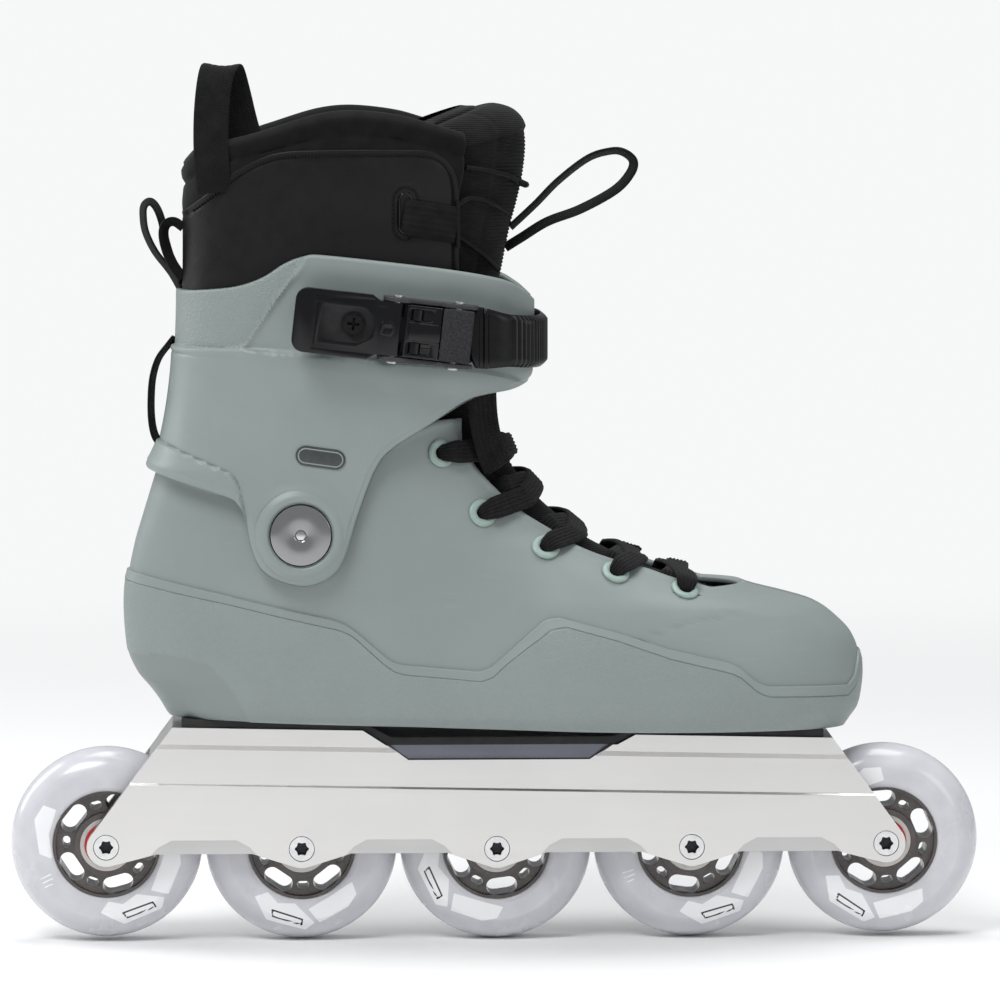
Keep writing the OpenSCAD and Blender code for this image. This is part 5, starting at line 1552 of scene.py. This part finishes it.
def build_tongue():
    """The tongue's ribbed face, padded top and rolled edges."""
    run, out, half, depth = tongue_frame()
    v = np.linspace(-1, 1, 81)
    v = np.unique(np.concatenate([v, [-0.997, -0.99, -0.98, 0.98, 0.99, 0.997]]))
    c = TONGUE_LINE
    z = c[:, 1]
    back = depth[:, None] * np.abs(v[None]) ** 2.2
    y = half[:, None] * v[None] + bend(c[:, 0])[:, None]
    dome = 9.0 * np.abs(v[None]) ** 2.4 * smooth((z[:, None] - 322) / 26)
    grid = np.stack([c[:, :1] - out[:, :1] * back, y, c[:, 1:] - out[:, 1:] * back - dome], axis=-1)
    n = normals(grid)
    n *= np.sign((n[:, len(v) // 2] * np.stack([out[:, 0], 0 * z, out[:, 1]], 1)).sum(1).mean())
    soft = smooth((0.66 - np.abs(v)[None]) / 0.05)
    soft = soft * smooth((z[:, None] - 196) / 4) * smooth((337.5 - z[:, None]) / 2)
    ribs = 0.24 * np.sin(run[:, None] * 2 * math.pi / 1.55) * soft
    to_end = run[-1] - run[:, None]
    pad = 1.2 * smooth((z[:, None] - 338) / 2.0) * smooth(to_end / 8)
    d = ribs + pad + groove((np.abs(v)[None] - 0.68) * 30, 0.5, 0.6) * (z[:, None] > 190)
    edge = np.minimum(np.minimum(run[:, None], to_end), (1 - np.abs(v)[None]) * half[:, None])
    full = np.interp(z, [148, 190, 240, 300, 336, 348], [4, 6, 7, 9, 11, 11])[:, None]
    swell = np.sqrt(np.clip(1 - (1 - np.clip(edge / 7, 0, 1)) ** 2, 0, 1))
    outer = grid + n * (d - 1.5 * (1 - swell))[..., None]
    inner = grid.copy()
    push = full * (0.06 + 0.94 * swell)
    inner[..., 0] -= out[:, :1] * push
    inner[..., 2] -= out[:, 1:] * push
    inner[..., 1] = bend(c[:, 0])[:, None] + (inner[..., 1] - bend(c[:, 0])[:, None]) * (1 - 0.12 * swell)
    points, faces = sheet(outer, inner)
    obj = make("ribbed_tongue", points, faces, M["knit"], None, "tongue_knit", ["tongue"], sharp=80)
    bend_at_ankle(obj)


build_tongue()
build_patch()
build_stitches()
build_keepers()
build_cords()


# ================================================================ loops

def side_band(points, width, thick, tilt, y, count):
    """A webbing band along a side-view path, its face square to the path and tilted about it."""
    c = path([(px, y, pz) for px, pz in points], count)
    t = unit(np.gradient(c, axis=0))
    flat = np.stack([t[:, 2], 0 * t[:, 0], -t[:, 0]], axis=1)
    n = flat * math.cos(math.radians(tilt)) + np.array([0, 1, 0]) * math.sin(math.radians(tilt))
    return band(c, n, width, thick, 0.08)


def make_pull(name, node, *bands):
    """A pull loop of one or more webbing bands."""
    make(name, *join(bands), M["webbing"], "cuff", "webbing", [node], sharp=60)


def build_heel_pull():
    heel = path([(-116.5, -35.2, 314), (-117.2, -36.8, 322), (-117.8, -36.0, 333), (-117.6, -34.5, 346),
                 (-116.4, -32.5, 358), (-114.6, -29, 364.2), (-111.4, -23.5, 363.4), (-108.6, -20.5, 354),
                 (-106.2, -20.6, 344), (-104.0, -22.4, 336), (-102.4, -24.6, 327)], 140)
    t = unit(np.gradient(heel, axis=0))
    make_pull("heel_pull", "heel_loop", band(heel, unit(np.cross(t, [1.0, 0.12, -0.05])), 14.4, 1.7, 0.06))


def build_front_pull():
    loop = [(4.1, 289.4), (11.2, 293.8), (21.7, 300.2), (35.5, 305.4), (49.7, 313.2), (56.2, 320.2),
            (57.4, 325.4), (53.2, 329), (47.6, 329.4), (38.4, 326.4), (26.3, 317.2), (16.7, 307.5),
            (6.2, 297.7)]
    make_pull("front_pull", "front_loop", side_band(loop, 9.5, 1.5, 17, 0, 160))


def build_rear_pulls():
    big = [(-129.8, 271), (-134.6, 279.5), (-141.2, 288.2), (-145.1, 296.4), (-146.1, 303.4), (-145.6, 307.4),
           (-143.2, 309), (-140.6, 306.6), (-138.4, 301), (-136.6, 292), (-133.4, 282), (-129.8, 275)]
    small = [(-129.4, 298.4), (-133, 300.8), (-136, 300.2), (-137.6, 297), (-136.9, 291), (-134, 283.6),
             (-129.8, 277.4)]
    make_pull("rear_pulls", "rear_loops", side_band(big, 6.5, 1.3, 24, -4.5, 140),
              side_band(small, 7.5, 1.3, 30, -9, 90))
    low = [(-133.2, 252.6), (-135.6, 249.6), (-140, 243.6), (-142.4, 236), (-143.2, 227), (-143.0, 218),
           (-141.6, 211.4), (-138.6, 207.4)]
    make_pull("cuff_pull", "cuff_loop", side_band(low, 11, 1.4, 12, 0, 90))


build_heel_pull()
build_front_pull()
build_rear_pulls()


# ================================================================ laces

BED_EDGE = [149, 151.6, 154.9, 158.9, 162.3, 168.2, 174.6, 182.6, 191.5, 201.2, 211.4]
bed_x = line(list(zip(BED_EDGE, [93.5, 85.5, 74, 62.8, 52, 39, 30, 20, 12, 6.2, 3])))
bed_z = line(list(zip(BED_EDGE, [150.6, 154.2, 158.1, 161.6, 167.2, 173.2, 180.4, 190.4, 199.6, 209.4,
                                 217.5])))


def lace_bed(q, v):
    """The laced surface over the tongue: q is the height of the throat's edge, v runs from side to side."""
    q, v = np.asarray(q, float), np.asarray(v, float)
    rim = shell_point(np.ones_like(q), q)
    lift = (1 - v * v)[..., None]
    centre = np.stack([bed_x(q), 0 * q, bed_z(q) - 3.4], axis=-1)
    p = rim + (centre - rim) * lift
    p[..., 1] = bend(p[..., 0]) + (rim[..., 1] - bend(rim[..., 0])) * v
    return p


def bed_normal(q, v):
    """Normal of the laced surface, pointing up and forward."""
    q, v = np.asarray(q, float), np.asarray(v, float)
    up, across = lace_bed(q + 0.5, v) - lace_bed(q - 0.5, v), lace_bed(q, v + 0.02) - lace_bed(q, v - 0.02)
    n = unit(np.cross(up, across))
    return n * np.sign(n[..., 2:3] + 0.3 * n[..., 0:1])


def lace_run(spot, side, start, finish, over):
    """A lace out of an eyelet, over the throat's near edge and under the far one."""
    c, n = on_shell(spot, side)
    near_v, far_v = -0.93, 0.86
    v = np.linspace(near_v, far_v, 26)
    t = (v - near_v) / (far_v - near_v)
    q = mix(start, finish, t)
    lift = 2.0 * np.exp(-((v + 1.0) / 0.5) ** 2) + over * np.sin(t * math.pi)
    hand = 1 if side < 0 else -1
    bed = lace_bed(q, hand * v) + bed_normal(q, hand * v) * lift[:, None]
    far_n = bed_normal(finish, 0.8 * hand)
    last = bed[-1]
    heading = unit(bed[-1] - bed[-4])
    tail = [last + heading * 1.6 - far_n * 2.8, last + heading * 2.4 - far_n * 7.5]
    toward = unit(bed[0] - c)
    leaving = ((-3.4, -0.6), (-0.2, -0.4), (2.2, 1.4), (2.9, 4.5))
    head = [c + n * out + toward * ahead for out, ahead in leaving]
    pts = path(np.concatenate([head, bed[1:], tail]), 150)
    share = np.linspace(0, 1, 150)
    k = np.clip(np.interp(share, [0.0, 0.3, 1], [0, 0, 1]), 0, 1)
    on_bed = bed_normal(mix(start, finish, k), hand * mix(near_v, far_v, k))
    leave = smooth((share - 0.02) / 0.10)[:, None]
    ease = smooth((share - 0.12) / 0.28)[:, None]
    dive = smooth((share - 0.88) / 0.08)[:, None]
    face = -toward * (1 - leave) + n * leave
    face = face * (1 - ease) + on_bed * ease
    face = unit(face * (1 - dive) + heading * dive)
    width = 5.2 + 4.4 * smooth(share * 7)
    return band(pts, face, width, 2.2, 0.22)


def build_laces():
    starts = [205.0, 184.5, 170.0, 160.2, 153.6]
    ends = [200.5, 190.5, 175.5, 162.4, 155.0]
    parts = []
    for spot, start, finish in zip(EYELETS, starts, ends):
        for side, over in ((1, 0.0), (-1, 1.5)):
            parts.append(lace_run(spot, side, start, finish, over))
    make("woven_laces", *join(parts), M["lace"], "boot", "lace", ["shell_lace"], sharp=70)


build_laces()


def build_tongue_strap():
    """The webbing down the tongue under the top lace."""
    pts = path([(0, -24.5, 200), (-3.5, -25.5, 209), (-5.6, -26.5, 219), (-6.4, -27.4, 230),
                (-6.4, -28, 242)], 60)
    n = unit(np.tile(np.array([0.62, -0.78, 0.1]), (60, 1)))
    obj = make("tongue_strap", *band(pts, n, 15.5, 1.8, 0.1), M["webbing"], None, "webbing", sharp=60)
    bend_at_ankle(obj)


def build_footbed():
    """The footbed, cupped at the heel and raised at the arch."""
    u = np.linspace(-1, 1, 61)
    t = np.linspace(0.02, 0.98, 120)
    x = mix(-141, 139, t)[:, None] * np.ones((1, len(u)))
    heel, toe = -142.5, 141.0
    c = np.clip(1 - 2 * (x - heel) / (toe - heel), -1, 1)
    half = (shell_half(x, np.full(x.shape, 108.0)) - 9.5) * bow(c, 2.6)
    y = half * u[None] + bend(x)
    heel_cup = 5.0 * np.abs(u[None]) ** 4 * (1 - smooth((x + 60) / 60))
    arch = 3.2 * smooth((u[None] - 0.2) / 0.8) * np.exp(-((x + 20) / 38) ** 2)
    z = 108.4 + heel_cup + arch - droop(x, np.full(x.shape, 104.0))
    outer = np.stack([x, y, z + 1.2], axis=-1)
    inner = np.stack([x, y, z - 1.2], axis=-1)
    points, faces = sheet(outer, inner)
    make("insole", points, faces, M["foam"], "boot", "footbed_foam", ["footbed"], sharp=60)


build_tongue_strap()
build_footbed()


# ================================================================ stage

PALE = (0.93, 0.935, 0.94)
FADE = (0.35, 1.5)


def build_stage():
    """A wide pale floor that fades to an even tone away from the skate."""
    s = Shader("floor_paper", (0.90, 0.90, 0.90), 0.6)
    s.mottle(220, 0.006)
    s.bump(s.noise(4, 3), 0.05)
    length = s.node("VectorMath", operation="LENGTH")
    s.link(s.node("NewGeometry").outputs["Position"], length.inputs[0])
    fade = s.node("MapRange", interpolation_type="SMOOTHSTEP")
    fade.inputs["From Min"].default_value, fade.inputs["From Max"].default_value = FADE
    s.link(length.outputs["Value"], fade.inputs["Value"])
    seen = s.node("LightPath").outputs["Is Camera Ray"]
    glow = s.node("Emission", Color=(*PALE, 1))
    joint = s.node("MixShader")
    s.link(s.maths("MULTIPLY", fade.outputs["Result"], seen), joint.inputs[0])
    s.link(s.bsdf.outputs[0], joint.inputs[1])
    s.link(glow.outputs[0], joint.inputs[2])
    s.link(joint.outputs[0], s.tree.nodes["Material Output"].inputs["Surface"])
    steps = np.linspace(-9, 9, 7) / MM
    grid = np.array([[(x, y, 0) for x in steps] for y in steps])
    make("floor", grid.reshape(-1, 3), quads(7, 7).reshape(-1, 4), s.material, None)


def area_light(name, spot, target, size, power):
    data = bpy.data.lights.new(name, "AREA")
    data.shape, data.energy = "RECTANGLE", power
    data.size, data.size_y = size
    obj = bpy.data.objects.new(name, data)
    bpy.context.scene.collection.objects.link(obj)
    obj.location = spot
    obj.rotation_mode = "QUATERNION"
    obj.rotation_quaternion = (Vector(target) - Vector(spot)).to_track_quat("-Z", "Y")


def build_light():
    middle = (0, 0, 0.17)
    area_light("key", (-0.75, -1.0, 1.7), middle, (0.9, 0.7), 24)
    area_light("fill", (1.5, -1.4, 0.9), middle, (0.7, 1.1), 6)
    area_light("top", (0.1, 0.15, 1.9), middle, (1.4, 0.8), 20)
    area_light("rim", (-1.4, 0.6, 0.9), middle, (0.6, 1.2), 9)
    world = bpy.data.worlds.new("studio")
    world.use_nodes = True
    tree, link = world.node_tree, world.node_tree.links.new
    light = tree.nodes["Background"]
    light.inputs[0].default_value, light.inputs[1].default_value = (0.95, 0.97, 1, 1), 0.32
    seen = tree.nodes.new("ShaderNodeBackground")
    seen.inputs[0].default_value = (*PALE, 1)
    ray = tree.nodes.new("ShaderNodeLightPath")
    joint = tree.nodes.new("ShaderNodeMixShader")
    link(ray.outputs["Is Camera Ray"], joint.inputs[0])
    link(light.outputs[0], joint.inputs[1])
    link(seen.outputs[0], joint.inputs[2])
    link(joint.outputs[0], tree.nodes["World Output"].inputs["Surface"])
    bpy.context.scene.world = world
    bpy.context.scene.view_settings.view_transform = "Standard"


def build_camera():
    data = bpy.data.cameras.new("camera")
    data.lens, data.sensor_width = 234, 36
    camera = bpy.data.objects.new("camera", data)
    bpy.context.scene.collection.objects.link(camera)
    spot, target = Vector((-0.105, -2.7, 0.425)), Vector((0.002, 0, 0.184))
    camera.location = spot
    camera.rotation_mode = "QUATERNION"
    camera.rotation_quaternion = (target - spot).to_track_quat("-Z", "Y")
    bpy.context.scene.camera = camera


build_stage()
build_light()
build_camera()
